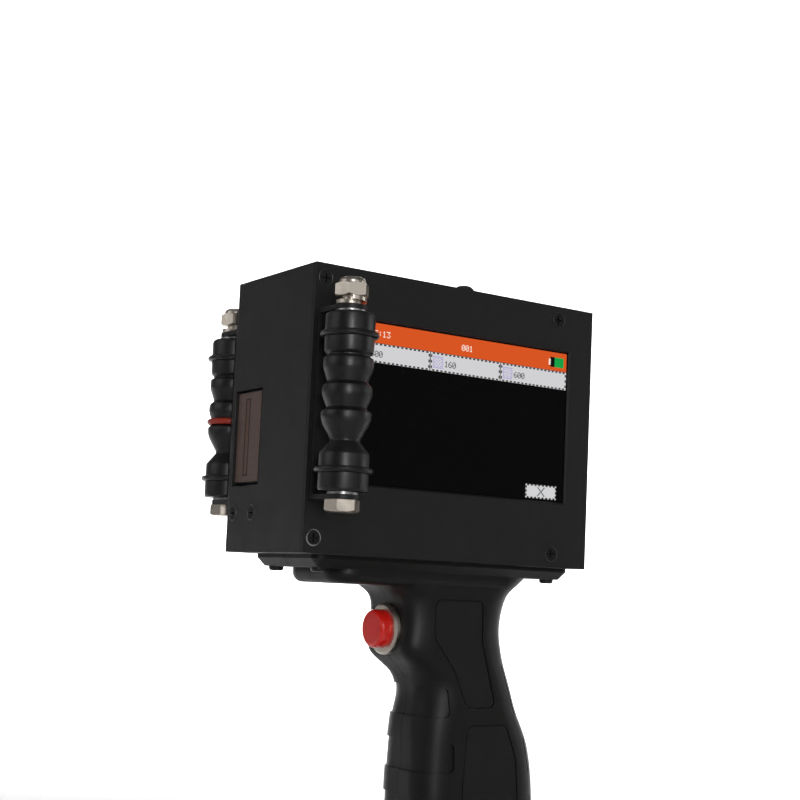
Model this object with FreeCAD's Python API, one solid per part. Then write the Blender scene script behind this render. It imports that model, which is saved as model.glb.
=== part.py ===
import FreeCAD, Part
import math
import os

# Handheld inkjet date coder: a box head with a touch screen on its front, a print window in its
# left wall and a guide roller on each long side, carried on a pistol grip with a red trigger.
# Millimetres. Origin at the centre of the grip's base face, +Z up, -X the print face,
# -Y the screen. Head measures run from the print face, the screen face and the head's underside.

V = FreeCAD.Vector
UP = V(0, 0, 1)
ALONG_X = V(1, 0, 0)
ALONG_Y = V(0, 1, 0)

# Head case
HEAD_LENGTH = 120.0
HEAD_DEPTH = 54.0
HEAD_HEIGHT = 95.0
HEAD_WALL = 2.0
HEAD_EDGE_RADIUS = 2.0
COVER_THICKNESS = 2.0
GRIP_HEIGHT = 122.0
PRINT_FACE_X = -87.5

# Hole in the underside for the wires from the cells and the trigger
CABLE_HOLE_X = 88.0
CABLE_HOLE_Y = -6.0
CABLE_HOLE_RADIUS = 5.5

# Screws and their clearances
SCREW_RADIUS = 1.5
SCREW_HEAD_RADIUS = 2.8
THREAD_CLEARANCE = 0.05
FIT_GAP = 0.3
RUNNING_GAP = 0.05
COVER_SCREW_LEFT = 3.9
COVER_SCREW_RIGHT = 16.5
COVER_SCREW_EDGE = 5.0
COVER_BOSS_RADIUS = 3.4
COVER_BOSS_DEPTH = 12.0

# Screen stack, from the front
SCREEN_LEFT = 13.7
SCREEN_BOTTOM = 24.1
SCREEN_WIDTH = 95.0
SCREEN_HEIGHT = 54.0
WINDOW_MARGIN = 0.5
WINDOW_BEVEL = 0.6
GLASS_RECESS = 0.9
GLASS_MARGIN_X = 5.2
GLASS_MARGIN_Z = 6.6
POCKET_GAP = 0.15
GASKET_THICKNESS = 0.4
GASKET_WIDTH = 3.0
LCD_THICKNESS = 3.6

# Control board behind the screen
BOARD_THICKNESS = 1.6
BOARD_INSET = 4.0
STANDOFF_HEIGHT = 3.8
STANDOFF_RADIUS = 2.6
STANDOFF_INSET = 5.0
CHIP_HEIGHT = 1.6

# Print window and cartridge
CARTRIDGE_LENGTH = 74.0
CARTRIDGE_WIDTH = 20.2
CARTRIDGE_HEIGHT = 61.0
CARTRIDGE_BACK_GAP = 1.3
THUMB_GROOVES = 3
THUMB_GROOVES_FROM_END = 10.0
THUMB_GROOVE_PITCH = 3.0
THUMB_GROOVE_WIDTH = 1.2
CONTACT_BOARD_ROOM = 2.0
CARTRIDGE_SETBACK = HEAD_WALL + CONTACT_BOARD_ROOM
HOLDER_TOP = 18.2
HOLDER_PLATE = 4.0
HOLDER_SIDE = 1.9
HOLDER_SIDE_HEIGHT = 42.0
HOLDER_TAIL = 18.0
HOLDER_FLANGE = 4.0
HOLDER_FLANGE_BOTTOM = 8.0
WINDOW_NEAR = 31.8
WINDOW_FAR = 50.4
WINDOW_BOTTOM = 22.8
WINDOW_TOP = 56.3
NOZZLE_NEAR = 34.0
NOZZLE_FAR = 50.2
NOZZLE_BOTTOM = 24.4
NOZZLE_TOP = 55.4
NOZZLE_SETBACK = 1.0
NOZZLE_THICKNESS = 0.6
NOZZLE_SLOT_LENGTH = 27.0
NOZZLE_SLOT_WIDTH = 0.5
NOZZLE_SLOT_PITCH = 2.6
NOZZLE_SLOT_FROM_FAR = 7.0
HOLDER_SCREW_Z = 13.5
HOLDER_SCREW_NEAR = 35.3
HOLDER_SCREW_FAR = 48.4

# Lever that clamps the cartridge
LEVER_PIN_RADIUS = 1.5
LEVER_PIN_BEHIND = 5.0
LEVER_PIN_HEIGHT = 5.3
LEVER_HUB_RADIUS = 3.2
LEVER_LENGTH = 31.5
LEVER_THICKNESS = 2.4
LEVER_TAB = 7.0
LEVER_EAR = 2.8

# Cartridge door in the right wall
DOOR_NEAR = 28.0
DOOR_FAR = 51.0
DOOR_BOTTOM = 14.0
DOOR_TOP = 86.0
DOOR_PIN_RADIUS = 1.0
DOOR_PIN_RISE = 3.0
DOOR_PIN_INSET = 2.5
DOOR_KNUCKLE_RADIUS = 2.2
DOOR_LUG = 1.7
DOOR_LEAF_HEIGHT = 4.0
CATCH_LENGTH = 11.0
CATCH_THICKNESS = 3.0
CATCH_DROP = 12.5

# Sockets in the right wall
USB_Z = 62.0
USB_WIDTH = 13.1
USB_THICKNESS = 6.8
USB_DEPTH = 14.0
USB_SHELL = 0.5
JACK_Z = 44.0
JACK_NOSE_RADIUS = 3.8
JACK_BORE_RADIUS = 3.1
JACK_BODY = 9.6
JACK_DEPTH = 13.0

# Power button on the top
POWER_X = 75.0
POWER_Y = 20.0
POWER_BEZEL_RADIUS = 6.0
POWER_BEZEL_HEIGHT = 2.0
POWER_BODY_RADIUS = 5.0
POWER_BODY_DEPTH = 14.0
POWER_CAP_RADIUS = 4.0
POWER_CAP_RISE = 6.1
POWER_TRAVEL = 1.5

# Guide rollers and their brackets
ROLLER_X = 6.5
ROLLER_STANDOFF = 12.0
BRACKET_BOTTOM = 17.1
BRACKET_HEIGHT = 62.4
BRACKET_THICKNESS = 1.6
BRACKET_HALF_WIDTH = 5.25
BRACKET_SCREW_INSET = 13.0
BOLT_RADIUS = 3.0
BOLT_ACROSS_FLATS = 10.0
BOLT_HEAD = 4.0
BOLT_BEYOND_EAR = 7.6
NUT_HEX = 5.0
NUT_HEIGHT = 7.3
LOCK_WASHER = 1.6
WASHER_THICKNESS = 0.8
WASHER_RADIUS = 5.0
ROLLER_RADIUS = 8.1
ROLLER_END_PLAY = 0.2
BUSHING_RADIUS = 4.6
BUSHING_LENGTH = 6.0
RING_WIRE = 1.3
RING_FROM_END = 6.75
RED_RING_WIRE = 1.1

# Grip
FLANGE_START = 8.9
FLANGE_END_INSET = 1.9
FLANGE_SIDE_INSET = 6.0
FLANGE_THICKNESS = 4.2
FLANGE_CHAMFER = 2.8
FLANGE_SCREW_INSET_X = 5.3
FLANGE_SCREW_INSET_Y = 7.0
HULL_START = 19.5
HULL_END = 92.0
HULL_DROP = 9.2
HULL_PLAN_RADIUS = 9.0
HULL_EDGE_RADIUS = 3.6
GRIP_WALL = 2.4
GRIP_HALF_WIDTH = 16.5
HULL_OVERHANG = 1.8
HULL_HALF_WIDTH = GRIP_HALF_WIDTH + HULL_OVERHANG
GRIP_REAR_FLAT = 3.0
BASE_THICKNESS = 4.0
RIM_HEIGHT = 1.6
RIM_WIDTH = 1.5
PAD_RECESS = 0.8
PAD_PROUD_GAP = 0.15
PAD_SEAT_GAP = 0.1
PAD_EDGE_GAP = 0.35
BAND_DEPTH = 0.6
BAND_HEIGHT = 10.6
BAND_PITCH = 19.0
FIRST_BAND_DROP = 43.6
BAND_COUNT = 4
GROOVE_DEPTH = 0.4
GRIP_BOSS_RADIUS = 4.2
BASE_BOSS_RADIUS = 3.2

# Trigger: a 16 mm panel push button
TRIGGER_DROP = 24.3
TRIGGER_FACE = 52.0
TRIGGER_BODY_RADIUS = 7.9
TRIGGER_BEZEL_RADIUS = 9.0
TRIGGER_BEZEL = 2.0
TRIGGER_LAND = 2.9
TRIGGER_LAND_RADIUS = 9.8
TRIGGER_CAP_RADIUS = 6.75
TRIGGER_CAP_PROUD = 4.3
TRIGGER_TRAVEL = 2.5
TRIGGER_BODY_LENGTH = 22.0
TRIGGER_NUT = 4.0
TRIGGER_NUT_FLATS = 19.0

# Battery
CELL_RADIUS = 9.2
CELL_LENGTH = 50.0
CELL_FRONT = 73.4
CELL_GAP = 1.0
CELL_CAP = 3.0
CELL_CAP_MARGIN = 0.5


# Positions in the head

def head_x(distance):
    return PRINT_FACE_X + distance


def head_y(distance):
    return -HEAD_DEPTH / 2 + distance


def head_z(height):
    return GRIP_HEIGHT + height


# Solids used again and again

def block(x_range, y_range, z_range):
    """Box between two limits on each axis."""
    size = [high - low for low, high in (x_range, y_range, z_range)]
    return Part.makeBox(size[0], size[1], size[2], V(x_range[0], y_range[0], z_range[0]))


def head_block(x_range, y_range, z_range):
    """Box given in the head's own measures."""
    return block(
        [head_x(v) for v in x_range], [head_y(v) for v in y_range], [head_z(v) for v in z_range]
    )


def rod(radius, length, start, axis=UP):
    return Part.makeCylinder(radius, length, start, axis)


def ring(outer, inner, length, start, axis=UP):
    return rod(outer, length, start, axis).cut(rod(inner, length, start, axis))


def hexagon(across_flats, length, start, axis=UP, turn=0.0):
    """Hexagonal prism along an axis, turned about it."""
    corner = across_flats / math.sqrt(3)
    points = [
        V(corner * math.cos(math.radians(turn + 60 * k)), corner * math.sin(math.radians(turn + 60 * k)), 0)
        for k in range(7)
    ]
    prism = Part.Face(Part.makePolygon(points)).extrude(V(0, 0, length))
    return laid(prism, start, axis)


def laid(shape, start, axis):
    """Moves a shape built up +Z from the origin so that +Z lies along an axis from a point."""
    placed = shape.copy()
    placed.Placement = FreeCAD.Placement(start, FreeCAD.Rotation(UP, axis))
    return placed


def fused(shapes):
    whole = shapes[0]
    for shape in shapes[1:]:
        whole = whole.fuse(shape)
    return whole.removeSplitter()


def without(shape, tools):
    for tool in tools:
        shape = shape.cut(tool)
    return shape


def group(shapes):
    return Part.makeCompound(shapes)


def save(name, shape):
    """Writes one node; a Boolean result is first reduced to its solids."""
    solids = shape.Solids
    result = solids[0] if len(solids) == 1 else Part.makeCompound(solids)
    result.exportStep("parts/" + name + ".step")


def edges_where(shape, test):
    return [edge for edge in shape.Edges if test(edge)]


def at_y(edge, y):
    box = edge.BoundBox
    return abs(box.YMin - y) < 0.01 and abs(box.YMax - y) < 0.01


def at_z(edge, z):
    box = edge.BoundBox
    return abs(box.ZMin - z) < 0.01 and abs(box.ZMax - z) < 0.01


def upright(edge, x=None):
    """True for a vertical edge, at one X if that is given."""
    box = edge.BoundBox
    tall = box.ZLength > 0.5 and box.XLength < 0.01 and box.YLength < 0.01
    return tall and (x is None or abs(box.XMin - x) < 0.01)


def rounded_polygon(points, radii, height_axis):
    """Face bounded by straight runs joined by tangent arcs; points are V in one plane."""
    count = len(points)
    starts, ends, edges = [], [], []
    for i, corner in enumerate(points):
        before = (points[i - 1] - corner).normalize()
        after = (points[(i + 1) % count] - corner).normalize()
        half = before.getAngle(after) / 2
        reach = radii[i] / math.tan(half)
        bisector = (before + after).normalize()
        middle = corner + bisector * (radii[i] / math.sin(half) - radii[i])
        starts.append(corner + before * reach)
        ends.append(corner + after * reach)
        edges.append(Part.Arc(starts[i], middle, ends[i]).toShape())
    outline = []
    for i in range(count):
        outline.append(edges[i])
        outline.append(Part.LineSegment(ends[i], starts[(i + 1) % count]).toShape())
    face = Part.Face(Part.Wire(outline))
    if face.normalAt(0, 0).dot(height_axis) < 0:
        face.reverse()
    return face


def cross_recess(depth, reach):
    """Cross-shaped drive recess that opens upward at z = 0."""
    arm = 0.32 * reach
    bars = [
        Part.makeBox(2 * reach, arm, depth, V(-reach, -arm / 2, -depth)),
        Part.makeBox(arm, 2 * reach, depth, V(-arm / 2, -reach, -depth)),
    ]
    return fused(bars)


def countersunk_screw(length, head_radius=SCREW_HEAD_RADIUS, radius=SCREW_RADIUS):
    """Flat-head screw: head face at z = 0, shank down to -length."""
    sink = head_radius - radius
    head = Part.makeCone(radius, head_radius, sink, V(0, 0, -sink))
    shank = rod(radius - THREAD_CLEARANCE, length, V(0, 0, -length))
    return fused([head, shank]).cut(cross_recess(0.8 * sink, 0.55 * head_radius))


def countersink(head_radius=SCREW_HEAD_RADIUS, radius=SCREW_RADIUS, length=20.0):
    """Tool for a countersunk screw's hole: the screw's own outline, run on below and above."""
    sink = head_radius - radius
    cone = Part.makeCone(radius, head_radius, sink, V(0, 0, -sink))
    return fused([cone, rod(head_radius, 5, V(0, 0, 0)), rod(radius, length, V(0, 0, -length))])


def pan_screw(length, head_radius=2.6, head_height=1.5, radius=SCREW_RADIUS):
    """Round-head screw: head seat at z = 0, head above it, shank down to -length."""
    head = rod(head_radius, head_height, V(0, 0, 0))
    top = edges_where(head, lambda e: at_z(e, head_height))
    head = head.makeFillet(0.7 * head_height, top)
    recess = cross_recess(0.7 * head_height, 0.6 * head_radius)
    recess.translate(V(0, 0, head_height))
    shank = rod(radius - THREAD_CLEARANCE, length, V(0, 0, -length))
    return fused([head, shank]).cut(recess)


# Head case

def cover_screw_points():
    """Screw centres of the front cover, on its face."""
    across = (COVER_SCREW_LEFT, HEAD_LENGTH - COVER_SCREW_RIGHT)
    up = (COVER_SCREW_EDGE, HEAD_HEIGHT - COVER_SCREW_EDGE)
    return [V(head_x(x), head_y(0), head_z(z)) for x in across for z in up]


def holder_screw_points():
    """Screw centres under the print window, on the print face."""
    return [V(head_x(0), head_y(y), head_z(HOLDER_SCREW_Z)) for y in (HOLDER_SCREW_NEAR, HOLDER_SCREW_FAR)]


def flange_screw_points():
    """Centres of the screws that hold the grip's flange, on the head's underside."""
    first = FLANGE_START + FLANGE_SCREW_INSET_X
    last = HEAD_LENGTH - FLANGE_END_INSET - FLANGE_SCREW_INSET_X
    side = HEAD_DEPTH / 2 - FLANGE_SIDE_INSET - FLANGE_SCREW_INSET_Y
    return [V(head_x(x), y, head_z(0)) for x in (first, last) for y in (-side, side)]


def bracket_screw_heights():
    low = BRACKET_BOTTOM + BRACKET_SCREW_INSET
    high = BRACKET_BOTTOM + BRACKET_HEIGHT - BRACKET_SCREW_INSET
    return (low, high)


def door_pin_axis():
    """Point on the door's hinge axis at the near lug's outer face."""
    return V(head_x(HEAD_LENGTH - DOOR_PIN_INSET), head_y(DOOR_NEAR), head_z(DOOR_BOTTOM + DOOR_PIN_RISE))


def housing_shell():
    outer = head_block((0, HEAD_LENGTH), (COVER_THICKNESS, HEAD_DEPTH), (0, HEAD_HEIGHT))
    back = edges_where(outer, lambda e: at_y(e, head_y(HEAD_DEPTH)))
    outer = outer.makeFillet(HEAD_EDGE_RADIUS, back)
    cavity = head_block(
        (HEAD_WALL, HEAD_LENGTH - HEAD_WALL),
        (0, HEAD_DEPTH - HEAD_WALL),
        (HEAD_WALL, HEAD_HEIGHT - HEAD_WALL),
    )
    return outer.cut(cavity)


def housing_lugs():
    """Lugs inside the right wall that carry the ends of the door pin."""
    wall = HEAD_LENGTH - HEAD_WALL
    pin_x = HEAD_LENGTH - DOOR_PIN_INSET
    pin_z = DOOR_BOTTOM + DOOR_PIN_RISE
    lugs = []
    for start in (DOOR_NEAR, DOOR_FAR - DOOR_LUG):
        span = (start, start + DOOR_LUG)
        height = (DOOR_BOTTOM - 2, pin_z + DOOR_PIN_INSET)
        body = head_block((pin_x - DOOR_PIN_INSET, wall - FIT_GAP), span, height)
        foot = head_block((pin_x - DOOR_PIN_INSET, wall), span, (DOOR_BOTTOM - 2, DOOR_BOTTOM - FIT_GAP))
        lugs += [body, foot]
    return lugs


def make_housing():
    bosses = [
        rod(COVER_BOSS_RADIUS, COVER_BOSS_DEPTH, V(p.x, head_y(COVER_THICKNESS), p.z), ALONG_Y)
        for p in cover_screw_points()
    ]
    seats = [rod(COVER_BOSS_RADIUS, 4, V(p.x, p.y, head_z(HEAD_WALL) - 1)) for p in flange_screw_points()]
    shape = fused([housing_shell()] + bosses + seats + housing_lugs())
    reach = COVER_THICKNESS + COVER_BOSS_DEPTH - 2
    cuts = [rod(SCREW_RADIUS, reach, p, ALONG_Y) for p in cover_screw_points()]
    cuts += [laid(countersink(length=HEAD_WALL + 2), p, -ALONG_X) for p in holder_screw_points()]
    cuts += [rod(SCREW_RADIUS, 8, V(p.x, p.y, p.z - 1)) for p in flange_screw_points()]
    back = head_y(HEAD_DEPTH) - 1.5 * HEAD_WALL
    cuts += [
        rod(SCREW_RADIUS, 2 * HEAD_WALL, V(head_x(ROLLER_X), back, head_z(z)), ALONG_Y)
        for z in bracket_screw_heights()
    ]
    wall = (HEAD_LENGTH - HEAD_WALL - 0.01, HEAD_LENGTH + 1)
    cuts.append(head_block((-1, HEAD_WALL + 0.01), (WINDOW_NEAR, WINDOW_FAR), (WINDOW_BOTTOM, WINDOW_TOP)))
    cuts.append(head_block(wall, (DOOR_NEAR, DOOR_FAR), (DOOR_BOTTOM, DOOR_TOP)))
    pin = door_pin_axis()
    cuts.append(rod(DOOR_PIN_RADIUS, DOOR_FAR - DOOR_NEAR, pin, ALONG_Y))
    cuts.append(usb_envelope(FIT_GAP))
    nose = V(head_x(HEAD_LENGTH - HEAD_WALL - 1), jack_axis().y, jack_axis().z)
    cuts.append(rod(JACK_NOSE_RADIUS + FIT_GAP, HEAD_WALL + 2, nose, ALONG_X))
    top = V(head_x(POWER_X), head_y(POWER_Y), head_z(HEAD_HEIGHT) - HEAD_WALL - 1)
    cuts.append(rod(POWER_BODY_RADIUS + THREAD_CLEARANCE, HEAD_WALL + 2, top))
    cuts.append(rod(CABLE_HOLE_RADIUS, HEAD_WALL + 2, V(head_x(CABLE_HOLE_X), CABLE_HOLE_Y, head_z(0) - 1)))
    return without(shape, cuts)


def screen_rect(grow_x, grow_z):
    """X and Z limits of the screen's active area, grown on each side."""
    x_range = (SCREEN_LEFT - grow_x, SCREEN_LEFT + SCREEN_WIDTH + grow_x)
    z_range = (SCREEN_BOTTOM - grow_z, SCREEN_BOTTOM + SCREEN_HEIGHT + grow_z)
    return x_range, z_range


def make_cover():
    plate = head_block((0, HEAD_LENGTH), (0, COVER_THICKNESS), (0, HEAD_HEIGHT))
    win_x, win_z = screen_rect(WINDOW_MARGIN, WINDOW_MARGIN)
    window = head_block(win_x, (-1, COVER_THICKNESS + 1), win_z)
    plate = plate.cut(window)

    def front_rim(edge):
        box = edge.BoundBox
        inner = box.XMin > head_x(1) and box.XMax < head_x(HEAD_LENGTH - 1)
        return at_y(edge, head_y(0)) and inner

    plate = plate.makeChamfer(WINDOW_BEVEL, edges_where(plate, front_rim))
    pocket_x, pocket_z = screen_rect(GLASS_MARGIN_X + POCKET_GAP, GLASS_MARGIN_Z + POCKET_GAP)
    pocket = head_block(pocket_x, (GLASS_RECESS, COVER_THICKNESS + 1), pocket_z)
    cuts = [pocket]
    cuts += [laid(countersink(length=COVER_THICKNESS + 2), p, -ALONG_Y) for p in cover_screw_points()]
    cuts += [
        rod(SCREW_RADIUS, COVER_THICKNESS + 2, V(head_x(ROLLER_X), head_y(-1), head_z(z)), ALONG_Y)
        for z in bracket_screw_heights()
    ]
    return without(plate, cuts)


def make_cover_screws():
    screw = countersunk_screw(COVER_THICKNESS + COVER_BOSS_DEPTH - 4)
    return group([laid(screw, p, -ALONG_Y) for p in cover_screw_points()])


# Screen stack and control board

def stack_depths():
    """Front and back of glass, gasket, display, standoffs and board, from the screen face."""
    glass = COVER_THICKNESS
    gasket = glass + GASKET_THICKNESS
    display = gasket + LCD_THICKNESS
    board = display + STANDOFF_HEIGHT
    return glass, gasket, display, board


def make_glass():
    x_range, z_range = screen_rect(GLASS_MARGIN_X, GLASS_MARGIN_Z)
    glass_back = stack_depths()[0]
    sheet = head_block(x_range, (GLASS_RECESS, glass_back), z_range)
    return sheet.makeFillet(1.0, [e for e in sheet.Edges if e.BoundBox.YLength > 0.5])


def make_gasket():
    glass, gasket, _, _ = stack_depths()
    out_x, out_z = screen_rect(GLASS_MARGIN_X, GLASS_MARGIN_Z)
    in_x, in_z = screen_rect(GLASS_MARGIN_X - GASKET_WIDTH, GLASS_MARGIN_Z - GASKET_WIDTH)
    return head_block(out_x, (glass, gasket), out_z).cut(head_block(in_x, (glass - 1, gasket + 1), in_z))


def make_lcd():
    _, gasket, display, _ = stack_depths()
    x_range, z_range = screen_rect(GLASS_MARGIN_X, GLASS_MARGIN_Z)
    body = head_block(x_range, (gasket, display), z_range)
    back = edges_where(body, lambda e: at_y(e, head_y(display)))
    return body.makeChamfer(0.4, back)


def board_limits():
    x_range, z_range = screen_rect(GLASS_MARGIN_X - BOARD_INSET, GLASS_MARGIN_Z - 1)
    return x_range, z_range


def standoff_points():
    x_range, z_range = board_limits()
    across = (x_range[0] + STANDOFF_INSET, x_range[1] - STANDOFF_INSET)
    up = (z_range[0] + STANDOFF_INSET, z_range[1] - STANDOFF_INSET)
    display = stack_depths()[2]
    return [V(head_x(x), head_y(display), head_z(z)) for x in across for z in up]


def make_board():
    x_range, z_range = board_limits()
    board = stack_depths()[3]
    plate = head_block(x_range, (board, board + BOARD_THICKNESS), z_range)
    plate = plate.makeFillet(2.0, [e for e in plate.Edges if e.BoundBox.YLength > 1])
    return without(plate, [rod(SCREW_RADIUS, 20, p, ALONG_Y) for p in standoff_points()])


def make_standoffs():
    depth = STANDOFF_HEIGHT - 1
    posts = []
    for p in standoff_points():
        post = rod(STANDOFF_RADIUS, STANDOFF_HEIGHT, p, ALONG_Y)
        posts.append(post.cut(rod(SCREW_RADIUS, depth, p + ALONG_Y * (STANDOFF_HEIGHT - depth), ALONG_Y)))
    return group(posts)


def make_board_screws():
    screw = pan_screw(BOARD_THICKNESS + STANDOFF_HEIGHT - 1.4, head_radius=2.4, head_height=1.4)
    seat = STANDOFF_HEIGHT + BOARD_THICKNESS
    return group([laid(screw, p + ALONG_Y * seat, ALONG_Y) for p in standoff_points()])


def make_board_parts():
    """Chips and connectors soldered to the back of the control board."""
    x_range, z_range = board_limits()
    face = stack_depths()[3] + BOARD_THICKNESS
    places = [(28, 30, 14, 14), (52, 30, 10, 18), (28, 8, 22, 7), (20, 52, 9, 9), (62, 8, 16, 6)]
    chips = []
    for across, up, width, height in places:
        low_x = x_range[0] + across
        low_z = z_range[0] + up
        chips.append(head_block((low_x, low_x + width), (face, face + CHIP_HEIGHT), (low_z, low_z + height)))
    return group(chips)


# Cartridge, its holder and its lever

def cartridge_limits():
    far = HEAD_DEPTH - HEAD_WALL - CARTRIDGE_BACK_GAP
    x_range = (CARTRIDGE_SETBACK, CARTRIDGE_SETBACK + CARTRIDGE_LENGTH)
    bottom = HOLDER_TOP + FIT_GAP
    return x_range, (far - CARTRIDGE_WIDTH, far), (bottom, bottom + CARTRIDGE_HEIGHT)


def make_cartridge():
    x_range, y_range, z_range = cartridge_limits()
    body = head_block(x_range, y_range, z_range)
    body = body.makeFillet(1.5, edges_where(body, lambda e: e.BoundBox.XLength > 5))
    snout_back = NOZZLE_SETBACK + NOZZLE_THICKNESS
    snout = head_block(
        (snout_back, CARTRIDGE_SETBACK + 1),
        (NOZZLE_NEAR - 0.5, NOZZLE_FAR),
        (NOZZLE_BOTTOM - 0.4, NOZZLE_TOP + 0.4),
    )
    thumb_starts = [x_range[1] - THUMB_GROOVES_FROM_END + THUMB_GROOVE_PITCH * k for k in range(THUMB_GROOVES)]
    grooves = [
        head_block((x, x + THUMB_GROOVE_WIDTH), (0, HEAD_DEPTH), (z_range[1] - 0.8, z_range[1] + 1))
        for x in thumb_starts
    ]
    return without(fused([body, snout]), grooves)


def make_nozzle_plate():
    depth = (NOZZLE_SETBACK, NOZZLE_SETBACK + NOZZLE_THICKNESS)
    plate = head_block(depth, (NOZZLE_NEAR, NOZZLE_FAR), (NOZZLE_BOTTOM, NOZZLE_TOP))
    middle = (NOZZLE_BOTTOM + NOZZLE_TOP) / 2
    span = (middle - NOZZLE_SLOT_LENGTH / 2, middle + NOZZLE_SLOT_LENGTH / 2)
    cut_depth = (NOZZLE_SETBACK - 1, NOZZLE_SETBACK + NOZZLE_THICKNESS / 2)
    slots = []
    for side in (-0.5, 0.5):
        y = NOZZLE_FAR - NOZZLE_SLOT_FROM_FAR + side * NOZZLE_SLOT_PITCH
        slots.append(head_block(cut_depth, (y - NOZZLE_SLOT_WIDTH / 2, y + NOZZLE_SLOT_WIDTH / 2), span))
    return without(plate, slots)


def lever_axis():
    """Point on the lever's pin axis at the near ear's outer face."""
    x_range, y_range, _ = cartridge_limits()
    return V(head_x(x_range[1] + LEVER_PIN_BEHIND), head_y(y_range[0]), head_z(HOLDER_TOP + LEVER_PIN_HEIGHT))


def make_holder():
    """Cradle under and beside the cartridge, with ears for the lever's pin."""
    x_range, y_range, _ = cartridge_limits()
    near = y_range[0] - FIT_GAP - HOLDER_SIDE
    far = HEAD_DEPTH - HEAD_WALL
    tail = x_range[1] + HOLDER_TAIL
    floor = head_block((HEAD_WALL, tail), (near, far), (HOLDER_TOP - HOLDER_PLATE, HOLDER_TOP))
    flange_x = (HEAD_WALL, HEAD_WALL + HOLDER_FLANGE)
    flange = head_block(flange_x, (near, far), (HOLDER_FLANGE_BOTTOM, HOLDER_TOP))
    sides_top = HOLDER_TOP + HOLDER_SIDE_HEIGHT
    wall_x = (CARTRIDGE_SETBACK + 3, x_range[1])
    near_side = head_block(wall_x, (near, near + HOLDER_SIDE), (HOLDER_TOP, sides_top))
    far_side = head_block(wall_x, (y_range[1] + FIT_GAP, far), (HOLDER_TOP, sides_top))
    axis = lever_axis()
    ears = []
    for y in (axis.y, head_y(y_range[1]) - LEVER_EAR):
        ear = block(
            (axis.x - LEVER_HUB_RADIUS, axis.x + LEVER_HUB_RADIUS),
            (y, y + LEVER_EAR),
            (head_z(HOLDER_TOP), axis.z + LEVER_HUB_RADIUS),
        )
        ears.append(ear)
    cuts = [rod(SCREW_RADIUS, HOLDER_FLANGE + 4, p, ALONG_X) for p in holder_screw_points()]
    cuts.append(rod(LEVER_PIN_RADIUS, CARTRIDGE_WIDTH, axis, ALONG_Y))
    return without(fused([floor, flange, near_side, far_side] + ears), cuts)


def make_holder_screws():
    screw = countersunk_screw(HEAD_WALL + HOLDER_FLANGE - 0.5)
    return group([laid(screw, p, -ALONG_X) for p in holder_screw_points()])


def make_contact_board():
    """Small board with sprung pins that touch the cartridge above its nozzle snout."""
    _, y_range, z_range = cartridge_limits()
    board = (HEAD_WALL, HEAD_WALL + 1.2)
    plate = head_block(board, (y_range[0] + 0.6, y_range[1] - 0.6), (WINDOW_TOP + 2, z_range[1] - 1))
    pins = []
    for row in range(3):
        for column in range(5):
            y = head_y(y_range[0] + 4 + 3 * column)
            z = head_z(WINDOW_TOP + 6 + 5 * row)
            pins.append(rod(0.45, 0.6, V(head_x(board[1]) - 0.05, y, z), ALONG_X))
    return fused([plate] + pins)


def make_lever():
    axis = lever_axis()
    _, y_range, _ = cartridge_limits()
    near = axis.y + LEVER_EAR + FIT_GAP
    far = head_y(y_range[1]) - LEVER_EAR - FIT_GAP
    hub = rod(LEVER_HUB_RADIUS, far - near, V(axis.x, near, axis.z), ALONG_Y)
    top = axis.z + LEVER_LENGTH
    arm = block((axis.x - LEVER_THICKNESS, axis.x), (near, far), (axis.z, top))
    reach = LEVER_PIN_BEHIND - FIT_GAP
    pad = block((axis.x - reach, axis.x), (near + 2, far - 2), (top - 9, top - 2))
    tab = block((axis.x, axis.x + LEVER_TAB), (near, far), (top - 2, top))
    tab = tab.makeFillet(0.9, edges_where(tab, lambda e: e.BoundBox.XMin > axis.x + LEVER_TAB - 0.01))
    bore = rod(LEVER_PIN_RADIUS + RUNNING_GAP, far - near, V(axis.x, near, axis.z), ALONG_Y)
    return fused([hub, arm, pad, tab]).cut(bore)


def make_lever_pin():
    return rod(LEVER_PIN_RADIUS, CARTRIDGE_WIDTH, lever_axis(), ALONG_Y)


# Door

def make_door():
    """Plate flush with the right wall, with a hinge barrel at its foot and a thumb scoop at its top."""
    pin = door_pin_axis()
    pin_z = DOOR_BOTTOM + DOOR_PIN_RISE
    depth = (HEAD_LENGTH - HEAD_WALL, HEAD_LENGTH)
    plate = head_block(
        depth, (DOOR_NEAR + FIT_GAP, DOOR_FAR - FIT_GAP), (pin_z + DOOR_LEAF_HEIGHT, DOOR_TOP - FIT_GAP)
    )
    inner = (DOOR_NEAR + DOOR_LUG + FIT_GAP, DOOR_FAR - DOOR_LUG - FIT_GAP)
    leaf = head_block(depth, inner, (pin_z, pin_z + DOOR_LEAF_HEIGHT))
    barrel = rod(DOOR_KNUCKLE_RADIUS, inner[1] - inner[0], V(pin.x, head_y(inner[0]), pin.z), ALONG_Y)
    scoop_center = V(head_x(HEAD_LENGTH) + 7, 0, head_z(DOOR_TOP - 9))
    middle = head_y((DOOR_NEAR + DOOR_FAR) / 2)
    scoop = rod(8.2, 12, V(scoop_center.x, middle - 6, scoop_center.z), ALONG_Y)
    bore = rod(DOOR_PIN_RADIUS + RUNNING_GAP, DOOR_FAR - DOOR_NEAR, pin, ALONG_Y)
    return without(fused([plate, leaf, barrel]), [scoop, bore])


def make_door_pin():
    return rod(DOOR_PIN_RADIUS, DOOR_FAR - DOOR_NEAR, door_pin_axis(), ALONG_Y)


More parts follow.
